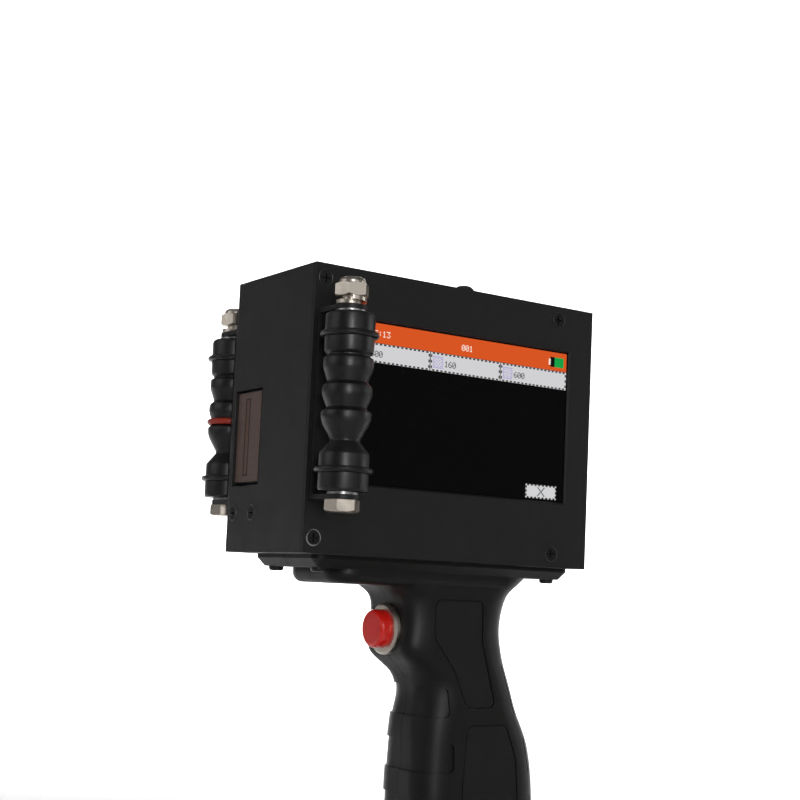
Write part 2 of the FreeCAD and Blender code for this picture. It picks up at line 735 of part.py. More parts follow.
def make_door_catch():
    """Magnet block that hangs from the top wall behind the door's upper edge."""
    middle = (DOOR_NEAR + DOOR_FAR) / 2
    back = HEAD_LENGTH - HEAD_WALL - FIT_GAP
    top = HEAD_HEIGHT - HEAD_WALL
    body = head_block(
        (back - CATCH_THICKNESS, back),
        (middle - CATCH_LENGTH / 2, middle + CATCH_LENGTH / 2),
        (top - CATCH_DROP, top),
    )
    return body.makeFillet(0.8, edges_where(body, lambda e: e.BoundBox.ZLength > 5))


# Sockets and power button

def usb_envelope(gap=0.0):
    face = stack_depths()[3] + BOARD_THICKNESS
    return head_block(
        (HEAD_LENGTH - USB_DEPTH, HEAD_LENGTH + (1 if gap else 0)),
        (face - gap, face + USB_THICKNESS + gap),
        (USB_Z - gap, USB_Z + USB_WIDTH + gap),
    )


def make_usb_socket():
    face = stack_depths()[3] + BOARD_THICKNESS
    mouth = head_block(
        (HEAD_LENGTH - USB_DEPTH + 4, HEAD_LENGTH + 1),
        (face + USB_SHELL, face + USB_THICKNESS - USB_SHELL),
        (USB_Z + USB_SHELL, USB_Z + USB_WIDTH - USB_SHELL),
    )
    tongue = head_block(
        (HEAD_LENGTH - USB_DEPTH + 3, HEAD_LENGTH - 1.5),
        (face + USB_THICKNESS - 2.6, face + USB_THICKNESS - 0.9),
        (USB_Z + 1.2, USB_Z + USB_WIDTH - 1.2),
    )
    return fused([usb_envelope().cut(mouth), tongue])


def jack_axis():
    face = stack_depths()[3] + BOARD_THICKNESS
    return V(head_x(HEAD_LENGTH), head_y(face + JACK_BODY / 2), head_z(JACK_Z + JACK_BODY / 2))


def make_dc_jack():
    axis = jack_axis()
    inner_wall = axis.x - HEAD_WALL
    half = JACK_BODY / 2
    depth = (inner_wall - JACK_DEPTH, inner_wall)
    body = block(depth, (axis.y - half, axis.y + half), (axis.z - half, axis.z + half))
    nose = rod(JACK_NOSE_RADIUS, HEAD_WALL - 0.2, V(inner_wall, axis.y, axis.z), ALONG_X)
    depth = HEAD_WALL + JACK_DEPTH - 3
    bore = rod(JACK_BORE_RADIUS, depth, V(axis.x - depth, axis.y, axis.z), ALONG_X)
    pin = rod(1.0, depth - 1.2, V(axis.x - depth, axis.y, axis.z), ALONG_X)
    return fused([body, nose]).cut(bore).fuse(pin)


def make_power_body():
    """Threaded body and bezel of the power switch."""
    top = V(head_x(POWER_X), head_y(POWER_Y), head_z(HEAD_HEIGHT))
    bezel = rod(POWER_BEZEL_RADIUS, POWER_BEZEL_HEIGHT, top)
    bezel = bezel.makeChamfer(0.7, edges_where(bezel, lambda e: at_z(e, top.z + POWER_BEZEL_HEIGHT)))
    body = rod(POWER_BODY_RADIUS, POWER_BODY_DEPTH, V(top.x, top.y, top.z - POWER_BODY_DEPTH))
    bore_depth = POWER_BODY_DEPTH / 2
    bore = rod(POWER_CAP_RADIUS + RUNNING_GAP, 30, V(top.x, top.y, top.z - bore_depth))
    return fused([bezel, body]).cut(bore)


def make_power_cap():
    """Domed cap; it starts the travel and a little more above the bore's floor."""
    low = -POWER_BODY_DEPTH / 2 + POWER_TRAVEL + 0.5
    base = V(head_x(POWER_X), head_y(POWER_Y), head_z(HEAD_HEIGHT) + low)
    cap = rod(POWER_CAP_RADIUS, POWER_CAP_RISE - low, base)
    crown = edges_where(cap, lambda e: at_z(e, base.z + POWER_CAP_RISE - low))
    return cap.makeFillet(0.7 * POWER_CAP_RADIUS, crown)


# Guide rollers; side is -1 at the screen face and +1 at the back

def roller_center(side):
    """Point on the roller's axis at the foot of the lower bracket ear."""
    return V(head_x(ROLLER_X), side * (HEAD_DEPTH / 2 + ROLLER_STANDOFF), head_z(BRACKET_BOTTOM))


def make_bracket(side):
    foot = roller_center(side)
    face = side * HEAD_DEPTH / 2
    inner = face + side * BRACKET_THICKNESS
    wide = (foot.x - BRACKET_HALF_WIDTH, foot.x + BRACKET_HALF_WIDTH)
    back = block(wide, sorted((face, inner)), (foot.z, foot.z + BRACKET_HEIGHT))
    pieces = [back]
    for z in (foot.z, foot.z + BRACKET_HEIGHT - BRACKET_THICKNESS):
        pieces.append(block(wide, sorted((face, foot.y)), (z, z + BRACKET_THICKNESS)))
        pieces.append(rod(BRACKET_HALF_WIDTH, BRACKET_THICKNESS, V(foot.x, foot.y, z)))
    cuts = [rod(BOLT_RADIUS + 0.1, BRACKET_HEIGHT + 2, V(foot.x, foot.y, foot.z - 1))]
    seats = [V(foot.x, inner, head_z(z)) for z in bracket_screw_heights()]
    cuts += [laid(countersink(length=6), seat, ALONG_Y * side) for seat in seats]
    return without(fused(pieces), cuts)


def make_bracket_screws(side):
    screw = countersunk_screw(BRACKET_THICKNESS + min(COVER_THICKNESS, HEAD_WALL))
    face = side * (HEAD_DEPTH / 2 + BRACKET_THICKNESS)
    seats = [V(head_x(ROLLER_X), face, head_z(z)) for z in bracket_screw_heights()]
    return group([laid(screw, seat, ALONG_Y * side) for seat in seats])


def roller_span(side):
    """Lower end of the roller and its length, between its two washers."""
    foot = roller_center(side)
    lift = BRACKET_THICKNESS + WASHER_THICKNESS + ROLLER_END_PLAY
    return V(foot.x, foot.y, foot.z + lift), BRACKET_HEIGHT - 2 * lift


def roller_profile():
    """Radius against height as shares of the roller's radius and length, from the lower end."""
    return [
        (0.000, 0.93), (0.025, 1.00), (0.190, 1.00), (0.225, 0.93), (0.255, 0.79), (0.292, 0.62),
        (0.325, 0.78), (0.355, 0.93), (0.395, 1.00), (0.435, 0.96), (0.475, 0.81), (0.510, 0.95),
        (0.557, 1.03), (0.600, 0.96), (0.636, 0.82), (0.668, 0.94), (0.708, 1.01), (0.745, 0.97),
        (0.767, 0.84), (0.790, 0.97), (0.815, 1.00), (0.975, 1.00), (1.000, 0.93),
    ]


def ring_heights(length):
    """Heights of the two plain rings above the roller's lower end."""
    return (RING_FROM_END + 0.2, length - RING_FROM_END + 0.4)


def make_roller(side):
    """Turned and waisted roller; the stretch between its two bands is one smooth curve."""
    base, length = roller_span(side)
    points = [V(r * ROLLER_RADIUS, 0, t * length) for t, r in roller_profile()]
    foot, head = points[:3], points[-2:]
    curve = Part.BSplineCurve()
    curve.interpolate(points[2:-1])
    edges = [
        Part.makePolygon([V(0, 0, 0), foot[0], foot[1], foot[2]]),
        Part.Wire(curve.toShape()),
        Part.makePolygon([head[0], head[1], V(0, 0, length), V(0, 0, 0)]),
    ]
    face = Part.Face(Part.Wire([edge for wire in edges for edge in wire.Edges]))
    body = face.revolve(V(0, 0, 0), UP, 360)
    body = without(body, [ring_groove(z) for z in ring_heights(length)])
    if side > 0:
        body = body.cut(red_ring_groove(length))
    bore = rod(BOLT_RADIUS + 0.5, length, V(0, 0, 0))
    sockets = [rod(BUSHING_RADIUS, BUSHING_LENGTH, V(0, 0, z)) for z in (0, length - BUSHING_LENGTH)]
    body = without(body, [bore] + sockets)
    body.translate(base)
    return body


def ring_groove(z):
    return Part.makeTorus(ring_center_radius(), RING_WIRE, V(0, 0, z))


def red_ring_groove(length):
    """Square groove whose floor and walls the red ring touches."""
    floor = red_ring_seat() - RED_RING_WIRE
    foot = V(0, 0, red_ring_height(length) - RED_RING_WIRE)
    return ring(2 * ROLLER_RADIUS, floor, 2 * RED_RING_WIRE, foot)


def ring_center_radius():
    return ROLLER_RADIUS + 0.2


def red_ring_height(length):
    return 0.475 * length


def red_ring_seat():
    return 0.81 * ROLLER_RADIUS + 0.9


def make_rings(side):
    base, length = roller_span(side)
    rings = []
    for z in ring_heights(length):
        rings.append(Part.makeTorus(ring_center_radius(), RING_WIRE, base + V(0, 0, z)))
    return group(rings)


def make_red_ring():
    base, length = roller_span(1)
    return Part.makeTorus(red_ring_seat(), RED_RING_WIRE, base + V(0, 0, red_ring_height(length)))


def make_bushings(side):
    base, length = roller_span(side)
    return group([
        ring(BUSHING_RADIUS, BOLT_RADIUS + RUNNING_GAP, BUSHING_LENGTH, base + V(0, 0, z))
        for z in (0, length - BUSHING_LENGTH)
    ])


def make_washers(side):
    foot = roller_center(side)
    low = BRACKET_THICKNESS
    high = BRACKET_HEIGHT - BRACKET_THICKNESS - WASHER_THICKNESS
    return group([
        ring(WASHER_RADIUS, BOLT_RADIUS + 0.1, WASHER_THICKNESS, foot + V(0, 0, z))
        for z in (low, high)
    ])


def make_bolt(side):
    foot = roller_center(side)
    under = V(foot.x, foot.y, foot.z - BOLT_HEAD)
    head = hexagon(BOLT_ACROSS_FLATS, BOLT_HEAD, under, turn=12)
    corner = BOLT_ACROSS_FLATS / math.sqrt(3)
    cone = Part.makeCone(corner - 0.9, corner + BOLT_HEAD - 0.9, BOLT_HEAD, under)
    head = head.common(cone)
    shank = rod(BOLT_RADIUS, BRACKET_HEIGHT + BOLT_BEYOND_EAR, foot)
    tip = edges_where(shank, lambda e: at_z(e, foot.z + BRACKET_HEIGHT + BOLT_BEYOND_EAR))
    return fused([head, shank.makeChamfer(0.6, tip)])


def make_nut(side):
    """Lock nut: a hexagon with a rounded collar above it."""
    base = roller_center(side) + V(0, 0, BRACKET_HEIGHT + LOCK_WASHER)
    body = hexagon(BOLT_ACROSS_FLATS, NUT_HEX, base, turn=20)
    corner = BOLT_ACROSS_FLATS / math.sqrt(3)
    body = body.common(Part.makeCone(corner - 0.4 + NUT_HEX, corner - 0.7, NUT_HEX, base))
    body = body.common(Part.makeCone(corner - 0.5, corner + NUT_HEX - 0.5, NUT_HEX, base))
    collar = rod(0.46 * BOLT_ACROSS_FLATS, NUT_HEIGHT - NUT_HEX + 0.5, base + V(0, 0, NUT_HEX - 0.5))
    collar = collar.makeFillet(1.2, edges_where(collar, lambda e: at_z(e, base.z + NUT_HEIGHT)))
    return fused([body, collar]).cut(rod(BOLT_RADIUS + THREAD_CLEARANCE, NUT_HEIGHT, base))


def make_lock_washer(side):
    """Split ring with a slanting cut, turned to the side that shows."""
    base = roller_center(side) + V(0, 0, BRACKET_HEIGHT)
    body = ring(WASHER_RADIUS, BOLT_RADIUS + 0.1, LOCK_WASHER, base)
    slit = Part.makeBox(WASHER_RADIUS, 0.9, 4 * LOCK_WASHER, V(0, -0.45, -2 * LOCK_WASHER))
    slit.rotate(V(0, 0, 0), ALONG_X, 35)
    slit.rotate(V(0, 0, 0), UP, -70)
    slit.translate(base + V(0, 0, LOCK_WASHER / 2))
    return body.cut(slit)


# Grip

def grip_stations():
    """Sections from the flange to the base: drop below the head, front and rear in head
    measures, half width, half width of the flat front, depth of the front and rear rounding."""
    half = GRIP_HALF_WIDTH
    low = GRIP_HEIGHT - BASE_THICKNESS
    face = TRIGGER_FACE
    return [
        (3.2, face - 8.5, 112.0, half + 1.0, 9.5, 12.0, 15.0),
        (6.2, face - 7.5, 105.0, half + 0.9, 9.5, 12.0, 14.5),
        (9.2, face - 5.5, 101.2, half + 0.6, 9.5, 12.0, 14.0),
        (12.2, face - 1.3, 99.0, half + 0.3, 9.3, 12.0, 14.0),
        (16.0, face, 97.8, half, 9.2, 12.0, 14.0),
        (24.0, face, 96.8, half, 9.2, 12.0, 14.0),
        (32.0, face + 0.2, 98.2, half, 9.2, 12.0, 14.0),
        (36.0, face + 4.0, 99.4, half, 7.5, 12.5, 14.0),
        (40.0, face + 8.0, 101.0, half, 5.0, 14.0, 14.0),
        (45.0, face + 9.6, 102.9, half, 3.5, 14.0, 14.0),
        (53.0, face + 9.1, 106.0, half, 4.5, 12.0, 14.0),
        (62.0, face + 8.5, 110.5, half, 5.5, 11.0, 14.0),
        (73.0, face + 8.2, 113.4, half, 6.0, 10.5, 14.0),
        (88.0, face + 8.2, 114.8, half, 6.0, 10.5, 14.0),
        (low - 14.0, face + 8.0, 115.4, half + 0.2, 6.5, 10.5, 14.0),
        (low - 6.0, face + 6.0, 116.3, half + 1.3, 7.0, 11.0, 14.0),
        (low, face + 3.0, 118.0, half + 2.5, 8.0, 12.0, 14.5),
    ]


def between(first, second, share):
    """Station part of the way from one station to the next, or past it."""
    return tuple(a + share * (b - a) for a, b in zip(first, second))


def half_section(station, inset, side):
    """Edges of one half of a section, from the middle of the front to the middle of the rear:
    flat front, side and rear joined by quarter ellipses, all moved in by inset."""
    drop, front, rear, half, flat, front_depth, rear_depth = station
    z = head_z(-drop)
    x0, x1 = head_x(front) + inset, head_x(rear) - inset
    y1 = side * (half - inset)
    nose = side * min(flat, half - inset - 2)
    tail = side * GRIP_REAR_FLAT
    a, b = x0 + front_depth - 0.5 * inset, x1 - rear_depth + 0.5 * inset
    return [
        Part.LineSegment(V(x0, 0, z), V(x0, nose, z)).toShape(),
        quarter(V(a, nose, z), V(x0, nose, z), V(a, y1, z)),
        Part.LineSegment(V(a, y1, z), V(b, y1, z)).toShape(),
        quarter(V(b, tail, z), V(b, y1, z), V(x1, tail, z)),
        Part.LineSegment(V(x1, tail, z), V(x1, 0, z)).toShape(),
    ]


def section_wire(station, inset):
    """Whole section of the grip."""
    return Part.Wire(Part.__sortEdges__(half_section(station, inset, -1) + half_section(station, inset, 1)))


def quarter(center, start, end):
    """Quarter of an ellipse about a centre, as a three-pole rational curve."""
    corner = start + end - center
    curve = Part.BSplineCurve()
    curve.buildFromPolesMultsKnots(
        [start, corner, end], [3, 3], [0.0, 1.0], False, 2, [1.0, math.sqrt(0.5), 1.0]
    )
    return curve.toShape()


def grip_loft(inset=0.0):
    """The whole grip's form, moved in by inset."""
    return Part.makeLoft([section_wire(station, inset) for station in grip_stations()], True, False)


def one_side(shape, side):
    """The part of a plain solid on one side of the parting plane."""
    far = 2 * HEAD_DEPTH
    y_range = (-far, 0) if side < 0 else (0, far)
    return shape.common(block((-far * 2, far * 2), y_range, (-far, far * 4)))


def make_flange():
    half = HEAD_DEPTH / 2 - FLANGE_SIDE_INSET
    x_range = (head_x(FLANGE_START), head_x(HEAD_LENGTH - FLANGE_END_INSET))
    body = block(x_range, (-half, half), (head_z(-FLANGE_THICKNESS), head_z(0)))
    body = body.makeFillet(FLANGE_CHAMFER + 0.8, edges_where(body, upright))
    rim = edges_where(body, lambda e: at_z(e, head_z(-FLANGE_THICKNESS)))
    return body.makeChamfer(FLANGE_CHAMFER, rim)


def make_hull():
    body = block(
        (head_x(HULL_START), head_x(HULL_END)),
        (-HULL_HALF_WIDTH, HULL_HALF_WIDTH),
        (head_z(-HULL_DROP), head_z(-1)),
    )
    body = body.makeFillet(HULL_PLAN_RADIUS, edges_where(body, lambda e: upright(e, head_x(HULL_START))))
    low = edges_where(body, lambda e: at_z(e, head_z(-HULL_DROP)))
    rim = [e for e in low if e.BoundBox.XMin < head_x(HULL_END) - 1]
    return body.makeFillet(HULL_EDGE_RADIUS, rim)


def side_face(points, radii):
    """Face in the XZ plane from points in head X and drop below the head."""
    corners = [V(head_x(x), 0, head_z(-drop)) for x, drop in points]
    return rounded_polygon(corners, radii, ALONG_Y)


def pad_faces():
    """Outlines of the upper and lower pads, seen from the side."""
    base = GRIP_HEIGHT - BASE_THICKNESS
    upper = [(61.4, 13.0), (82.2, 13.0), (82.7, 28.0), (89.6, 50.9), (76.6, 50.9), (71.0, 38.5), (61.4, 26.5)]
    foot = base - 12
    lower = [(77.4, 56.7), (94.6, 56.7), (99.6, 68.5), (101.5, 88.0), (101.3, foot), (76.2, foot), (76.0, 76.0)]
    return {
        "upper": side_face(upper, [2.5, 2.2, 12.0, 2.4, 3.5, 14.0, 5.0]),
        "lower": side_face(lower, [2.5, 3.0, 16.0, 30.0, 3.0, 3.0, 40.0]),
    }


def through(face):
    """Prism of a side outline, wider than the grip on both sides."""
    reach = 2 * HEAD_DEPTH
    prism = face.extrude(ALONG_Y * reach)
    prism.translate(ALONG_Y * (-reach / 2))
    return prism


def band_prism(index):
    """Side outline of one finger band; it runs past the front and ends in rounded corners."""
    top = FIRST_BAND_DROP + BAND_PITCH * index
    end = 70.0 + min(2.4, 2.4 * index)
    points = [(30, top), (end - 0.8, top), (end, top + BAND_HEIGHT), (30, top + BAND_HEIGHT)]
    return through(side_face(points, [1.0, 2.2, 2.2, 1.0]))


def rear_line(first, last, width=0.7, inset=6.5):
    """Side outline of a narrow groove that follows the rear of the grip."""
    stations = [s for s in grip_stations() if first <= s[0] <= last]
    outer = [V(head_x(s[2] - inset + width), 0, head_z(-s[0])) for s in stations]
    inner = [V(head_x(s[2] - inset), 0, head_z(-s[0])) for s in reversed(stations)]
    return through(Part.Face(Part.makePolygon(outer + inner + outer[:1])))


def grip_boss_points():
    """Bosses that join the two shells: head X and drop."""
    base = GRIP_HEIGHT - BASE_THICKNESS
    rear = cell_x()[1] + CELL_RADIUS + FIT_GAP + GRIP_BOSS_RADIUS
    return [(87.0, 28.0), (rear, base - 40), (rear, base - 10)]


def base_boss_points():
    """Bosses for the base cap's screws, between the cells and beside them."""
    front, back = cell_x()
    side = CELL_RADIUS + CELL_CAP_MARGIN + FIT_GAP + BASE_BOSS_RADIUS
    return [((front + back) / 2, y) for y in (-side, side)]


def grip_skin(side):
    """Outer form of one shell with its bands, pad recess and rear grooves."""
    skin = one_side(fused([grip_loft(), make_hull(), make_flange()]), side)
    recess_floor = grip_loft(PAD_RECESS)
    for face in pad_faces().values():
        skin = skin.cut(through(face).cut(recess_floor))
    band_floor = grip_loft(BAND_DEPTH)
    for index in range(BAND_COUNT):
        skin = skin.cut(band_prism(index).cut(band_floor))
    groove_floor = grip_loft(GROOVE_DEPTH)
    for first, last in ((36.0, 53.0), (62.0, GRIP_HEIGHT - BASE_THICKNESS - 14.0)):
        skin = skin.cut(rear_line(first, last).cut(groove_floor))
    return skin


def grip_cavity():
    """Inner form: the grip moved in by the wall and run on through the flange and the base."""
    stations = grip_stations()
    top = (-1.0,) + stations[0][1:]
    bottom = between(stations[-2], stations[-1], 1.25)
    return Part.makeLoft([section_wire(s, GRIP_WALL) for s in [top] + stations[:-1] + [bottom]], True, False)


def hull_pocket():
    """Pocket in the hull ahead of the neck, with a rib left between the two."""
    neck_front = grip_stations()[0][1]
    side = HULL_HALF_WIDTH - 2 * GRIP_WALL
    return block(
        (head_x(HULL_START + 2 * GRIP_WALL), head_x(neck_front)),
        (-side, side),
        (head_z(-HULL_DROP + GRIP_WALL), head_z(1)),
    )


def shell_bosses(side):
    """Bosses of one shell, cut to the grip's outer form."""
    reach = side * (GRIP_HALF_WIDTH + 5)
    low = head_z(-(GRIP_HEIGHT - BASE_THICKNESS))
    bosses = [
        rod(GRIP_BOSS_RADIUS, abs(reach), V(head_x(x), 0, head_z(-drop)), ALONG_Y * side)
        for x, drop in grip_boss_points()
    ]
    bosses += [rod(BASE_BOSS_RADIUS, 12, V(head_x(x), y, low)) for x, y in base_boss_points() if y * side > 0]
    land = rod(TRIGGER_LAND_RADIUS, GRIP_WALL + TRIGGER_LAND - 1, trigger_point(1), ALONG_X)
    bosses.append(one_side(land, side))
    outer = grip_loft()
    return [boss.common(outer) for boss in bosses]


def shell_holes():
    """Tools for every hole in the shells."""
    center = V(head_x(TRIGGER_FACE) - 10, 0, head_z(-TRIGGER_DROP))
    low = head_z(-(GRIP_HEIGHT - BASE_THICKNESS))
    cuts = [rod(TRIGGER_BODY_RADIUS + THREAD_CLEARANCE, 11 + GRIP_WALL + TRIGGER_LAND, center, ALONG_X)]
    cuts.append(rod(TRIGGER_BEZEL_RADIUS + FIT_GAP, 10, center, ALONG_X))
    for p in flange_screw_points():
        cuts.append(rod(SCREW_RADIUS, 10, V(p.x, p.y, p.z - 9)))
        cuts.append(rod(3.0, 8, V(p.x, p.y, p.z - FLANGE_THICKNESS - 8)))
    cuts += [rod(SCREW_RADIUS, 9, V(head_x(x), y, low - 0.5)) for x, y in base_boss_points()]
    for x, drop in grip_boss_points():
        inner_end = -GRIP_HALF_WIDTH + GRIP_WALL + 2
        cuts.append(rod(SCREW_RADIUS, 3 * GRIP_HALF_WIDTH, V(head_x(x), inner_end, head_z(-drop)), ALONG_Y))
        seat = V(head_x(x), grip_screw_seat(), head_z(-drop))
        cuts.append(rod(SCREW_HEAD_RADIUS + 0.2, 2 * GRIP_HALF_WIDTH, seat, ALONG_Y))
    return cuts


def make_grip_shell(side):
    """One half of the grip with its half of the flange, hollow, with bosses and holes."""
    shape = without(grip_skin(side), [grip_cavity(), hull_pocket()])
    for boss in shell_bosses(side):
        shape = shape.fuse(boss)
    return without(shape, shell_holes())


def grip_screw_seat():
    """Y of the face that the shell screws' heads pull on."""
    return GRIP_HALF_WIDTH - GRIP_WALL - 3


def make_grip_screws():
    seat = grip_screw_seat()
    screw = pan_screw(seat + GRIP_HALF_WIDTH - GRIP_WALL - 4)
    return group([laid(screw, V(head_x(x), seat, head_z(-drop)), ALONG_Y) for x, drop in grip_boss_points()])


def make_flange_screws():
    screw = pan_screw(FLANGE_THICKNESS + HEAD_WALL + 1)
    return group([laid(screw, V(p.x, p.y, p.z - FLANGE_THICKNESS), -UP) for p in flange_screw_points()])


def make_pads(name):
    """The two pads of one outline, one on each side, each a thin skin in its recess."""
    face = pad_faces()[name].makeOffset2D(-PAD_EDGE_GAP)
    layer = grip_loft(PAD_PROUD_GAP).common(through(face))
    layer = layer.cut(grip_loft(PAD_RECESS - PAD_SEAT_GAP))
    return group(layer.Solids)


# Trigger

def trigger_point(offset=0.0):
    """Point on the trigger's axis, measured inward from the grip's front face."""
    return V(head_x(TRIGGER_FACE) + offset, 0, head_z(-TRIGGER_DROP))


def make_trigger_body():
    """Bezel and threaded barrel with a bore for the cap."""
    bezel = rod(TRIGGER_BEZEL_RADIUS, TRIGGER_BEZEL, trigger_point(-TRIGGER_BEZEL), ALONG_X)
    front = [e for e in bezel.Edges if e.BoundBox.XMax < trigger_point(-TRIGGER_BEZEL).x + 0.01]
    bezel = bezel.makeChamfer(0.8, front)
    barrel = rod(TRIGGER_BODY_RADIUS, TRIGGER_BODY_LENGTH, trigger_point(), ALONG_X)
    depth = TRIGGER_BODY_LENGTH / 2
    bore = rod(TRIGGER_CAP_RADIUS + RUNNING_GAP, depth + 10, trigger_point(-10), ALONG_X)
    return fused([bezel, barrel]).cut(bore)


def make_trigger_cap():
    start = trigger_point(-TRIGGER_BEZEL - TRIGGER_CAP_PROUD)
    length = TRIGGER_BEZEL + TRIGGER_CAP_PROUD + TRIGGER_BODY_LENGTH / 2 - TRIGGER_TRAVEL - 0.5
    cap = rod(TRIGGER_CAP_RADIUS, length, start, ALONG_X)
    return cap.makeFillet(1.3, [e for e in cap.Edges if e.BoundBox.XMax < start.x + 0.01])


def make_trigger_nut():
    start = trigger_point(GRIP_WALL + TRIGGER_LAND)
    nut = hexagon(TRIGGER_NUT_FLATS, TRIGGER_NUT, start, ALONG_X)
    return nut.cut(rod(TRIGGER_BODY_RADIUS + THREAD_CLEARANCE, TRIGGER_NUT, start, ALONG_X))


# Battery and base

def cell_x():
    """Axes of the two cells, in head measures."""
    return CELL_FRONT, CELL_FRONT + 2 * CELL_RADIUS + CELL_GAP


def cell_foot():
    """Z of the cells' lower ends, above the base plate and the lower cell cap."""
    return BASE_THICKNESS + CELL_CAP


def make_cells():
    cells = []
    for x in cell_x():
        can = rod(CELL_RADIUS, CELL_LENGTH, V(head_x(x), 0, cell_foot()))
        rims = edges_where(can, lambda e: at_z(e, cell_foot()) or at_z(e, cell_foot() + CELL_LENGTH))
        cells.append(can.makeFillet(0.8, rims))
    return group(cells)


def make_cell_caps():
    front, back = cell_x()
    reach = CELL_RADIUS + CELL_CAP_MARGIN
    caps = []
    for z in (BASE_THICKNESS, cell_foot() + CELL_LENGTH):
        plate = block((head_x(front), head_x(back)), (-reach, reach), (z, z + CELL_CAP))
        ends = [rod(reach, CELL_CAP, V(head_x(x), 0, z)) for x in (front, back)]
        caps.append(fused([plate] + ends))
    return group(caps)


def make_base_cap():
    """Plate that closes the grip, with a locating rim inside the shells."""
    last = grip_stations()[-1]
    section = Part.Face(section_wire(last, 0.0))
    plate = section.extrude(V(0, 0, -BASE_THICKNESS))
    plate = plate.makeChamfer(1.2, edges_where(plate, lambda e: at_z(e, 0)))
    above = grip_stations()[-2]
    rim_top = between(last, above, RIM_HEIGHT / (last[0] - above[0]))
    inset = GRIP_WALL + 2 * FIT_GAP
    rim = Part.makeLoft([section_wire(rim_top, inset), section_wire(last, inset)], True, True)
    rim = rim.cut(Part.Face(section_wire(rim_top, inset + RIM_WIDTH)).extrude(V(0, 0, -2 * RIM_HEIGHT)))
    clear = BASE_BOSS_RADIUS + FIT_GAP
    rim = without(rim, [rod(clear, 5, V(head_x(x), y, BASE_THICKNESS)) for x, y in base_boss_points()])
    sinks = [laid(countersink(length=8), V(head_x(x), y, 0), -UP) for x, y in base_boss_points()]
    return without(fused([plate, rim]), sinks)


def make_base_screws():
    screw = countersunk_screw(BASE_THICKNESS + 7)
    return group([laid(screw, V(head_x(x), y, 0), -UP) for x, y in base_boss_points()])


def save_head():
    save("main_housing", make_housing())
    save("front_cover", make_cover())
    save("front_cover_screws", make_cover_screws())
    save("touch_panel", make_glass())
    save("screen_gasket", make_gasket())
    save("lcd_module", make_lcd())
    save("control_board", make_board())
    save("board_components", make_board_parts())
    save("board_standoffs", make_standoffs())
    save("board_screws", make_board_screws())
    save("usb_socket", make_usb_socket())
    save("dc_jack", make_dc_jack())
    save("power_switch_body", make_power_body())
    save("power_button", make_power_cap())


def save_cartridge_bay():
    save("ink_cartridge", make_cartridge())
    save("nozzle_plate", make_nozzle_plate())
    save("cartridge_holder", make_holder())
    save("holder_screws", make_holder_screws())
    save("contact_board", make_contact_board())
    save("cartridge_lever", make_lever())
    save("lever_pin", make_lever_pin())
    save("cartridge_door", make_door())
    save("door_pin", make_door_pin())
    save("door_catch", make_door_catch())


def save_roller_set(name, side):
    save(name + "_bracket", make_bracket(side))
    save(name + "_bracket_screws", make_bracket_screws(side))
    save(name + "_roller", make_roller(side))
    save(name + "_roller_rings", make_rings(side))
    save(name + "_roller_bushings", make_bushings(side))
    save(name + "_roller_washers", make_washers(side))
    save(name + "_roller_bolt", make_bolt(side))
    save(name + "_lock_washer", make_lock_washer(side))
    save(name + "_lock_nut", make_nut(side))


def save_grip():
    save("grip_front_shell", make_grip_shell(-1))
    save("grip_back_shell", make_grip_shell(1))
    save("grip_screws", make_grip_screws())
    save("flange_screws", make_flange_screws())
    save("upper_side_pads", make_pads("upper"))
    save("lower_side_pads", make_pads("lower"))
    save("trigger_switch_body", make_trigger_body())
    save("trigger_cap", make_trigger_cap())
    save("trigger_nut", make_trigger_nut())
    save("battery_cells", make_cells())
    save("battery_caps", make_cell_caps())
    save("base_cap", make_base_cap())
    save("base_cap_screws", make_base_screws())


def main():
    os.makedirs("parts", exist_ok=True)
    save_head()
    save_cartridge_bay()
    save_roller_set("front", -1)
    save_roller_set("back", 1)
    save("back_red_ring", make_red_ring())
    save_grip()


main()
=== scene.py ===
"""Looks of a handheld inkjet date coder.

A black box head stands on a pistol grip. Guide rollers stand on both wide faces, the touch
screen fills the front, and the print window is in the narrow end. Sizes are in millimetres
unless a docstring says otherwise, and head measures run from the lowest corner of the front
plate: right, back and up.
"""

import logging
import math
from dataclasses import dataclass, field
from enum import Enum
from typing import Callable, Iterable, Mapping, Sequence

import bmesh
import bpy
from mathutils import Matrix, Vector


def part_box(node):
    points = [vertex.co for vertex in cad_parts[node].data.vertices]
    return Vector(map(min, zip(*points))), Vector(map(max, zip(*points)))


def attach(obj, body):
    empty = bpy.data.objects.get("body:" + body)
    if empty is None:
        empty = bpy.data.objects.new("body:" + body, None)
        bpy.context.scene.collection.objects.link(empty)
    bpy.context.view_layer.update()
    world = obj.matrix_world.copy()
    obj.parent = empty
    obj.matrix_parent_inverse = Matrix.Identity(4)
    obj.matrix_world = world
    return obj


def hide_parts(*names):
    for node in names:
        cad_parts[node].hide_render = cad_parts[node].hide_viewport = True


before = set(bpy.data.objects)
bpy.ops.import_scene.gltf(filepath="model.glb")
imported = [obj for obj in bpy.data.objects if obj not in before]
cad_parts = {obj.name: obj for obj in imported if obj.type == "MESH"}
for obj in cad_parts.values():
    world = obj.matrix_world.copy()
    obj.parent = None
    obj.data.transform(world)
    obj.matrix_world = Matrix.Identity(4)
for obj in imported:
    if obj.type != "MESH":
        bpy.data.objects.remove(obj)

Mesh = bpy.types.Mesh
Node = bpy.types.Node
NodeTree = bpy.types.NodeTree
Socket = bpy.types.NodeSocket
Pair = tuple[float, float]
Section = Callable[[float], Sequence[Pair]]

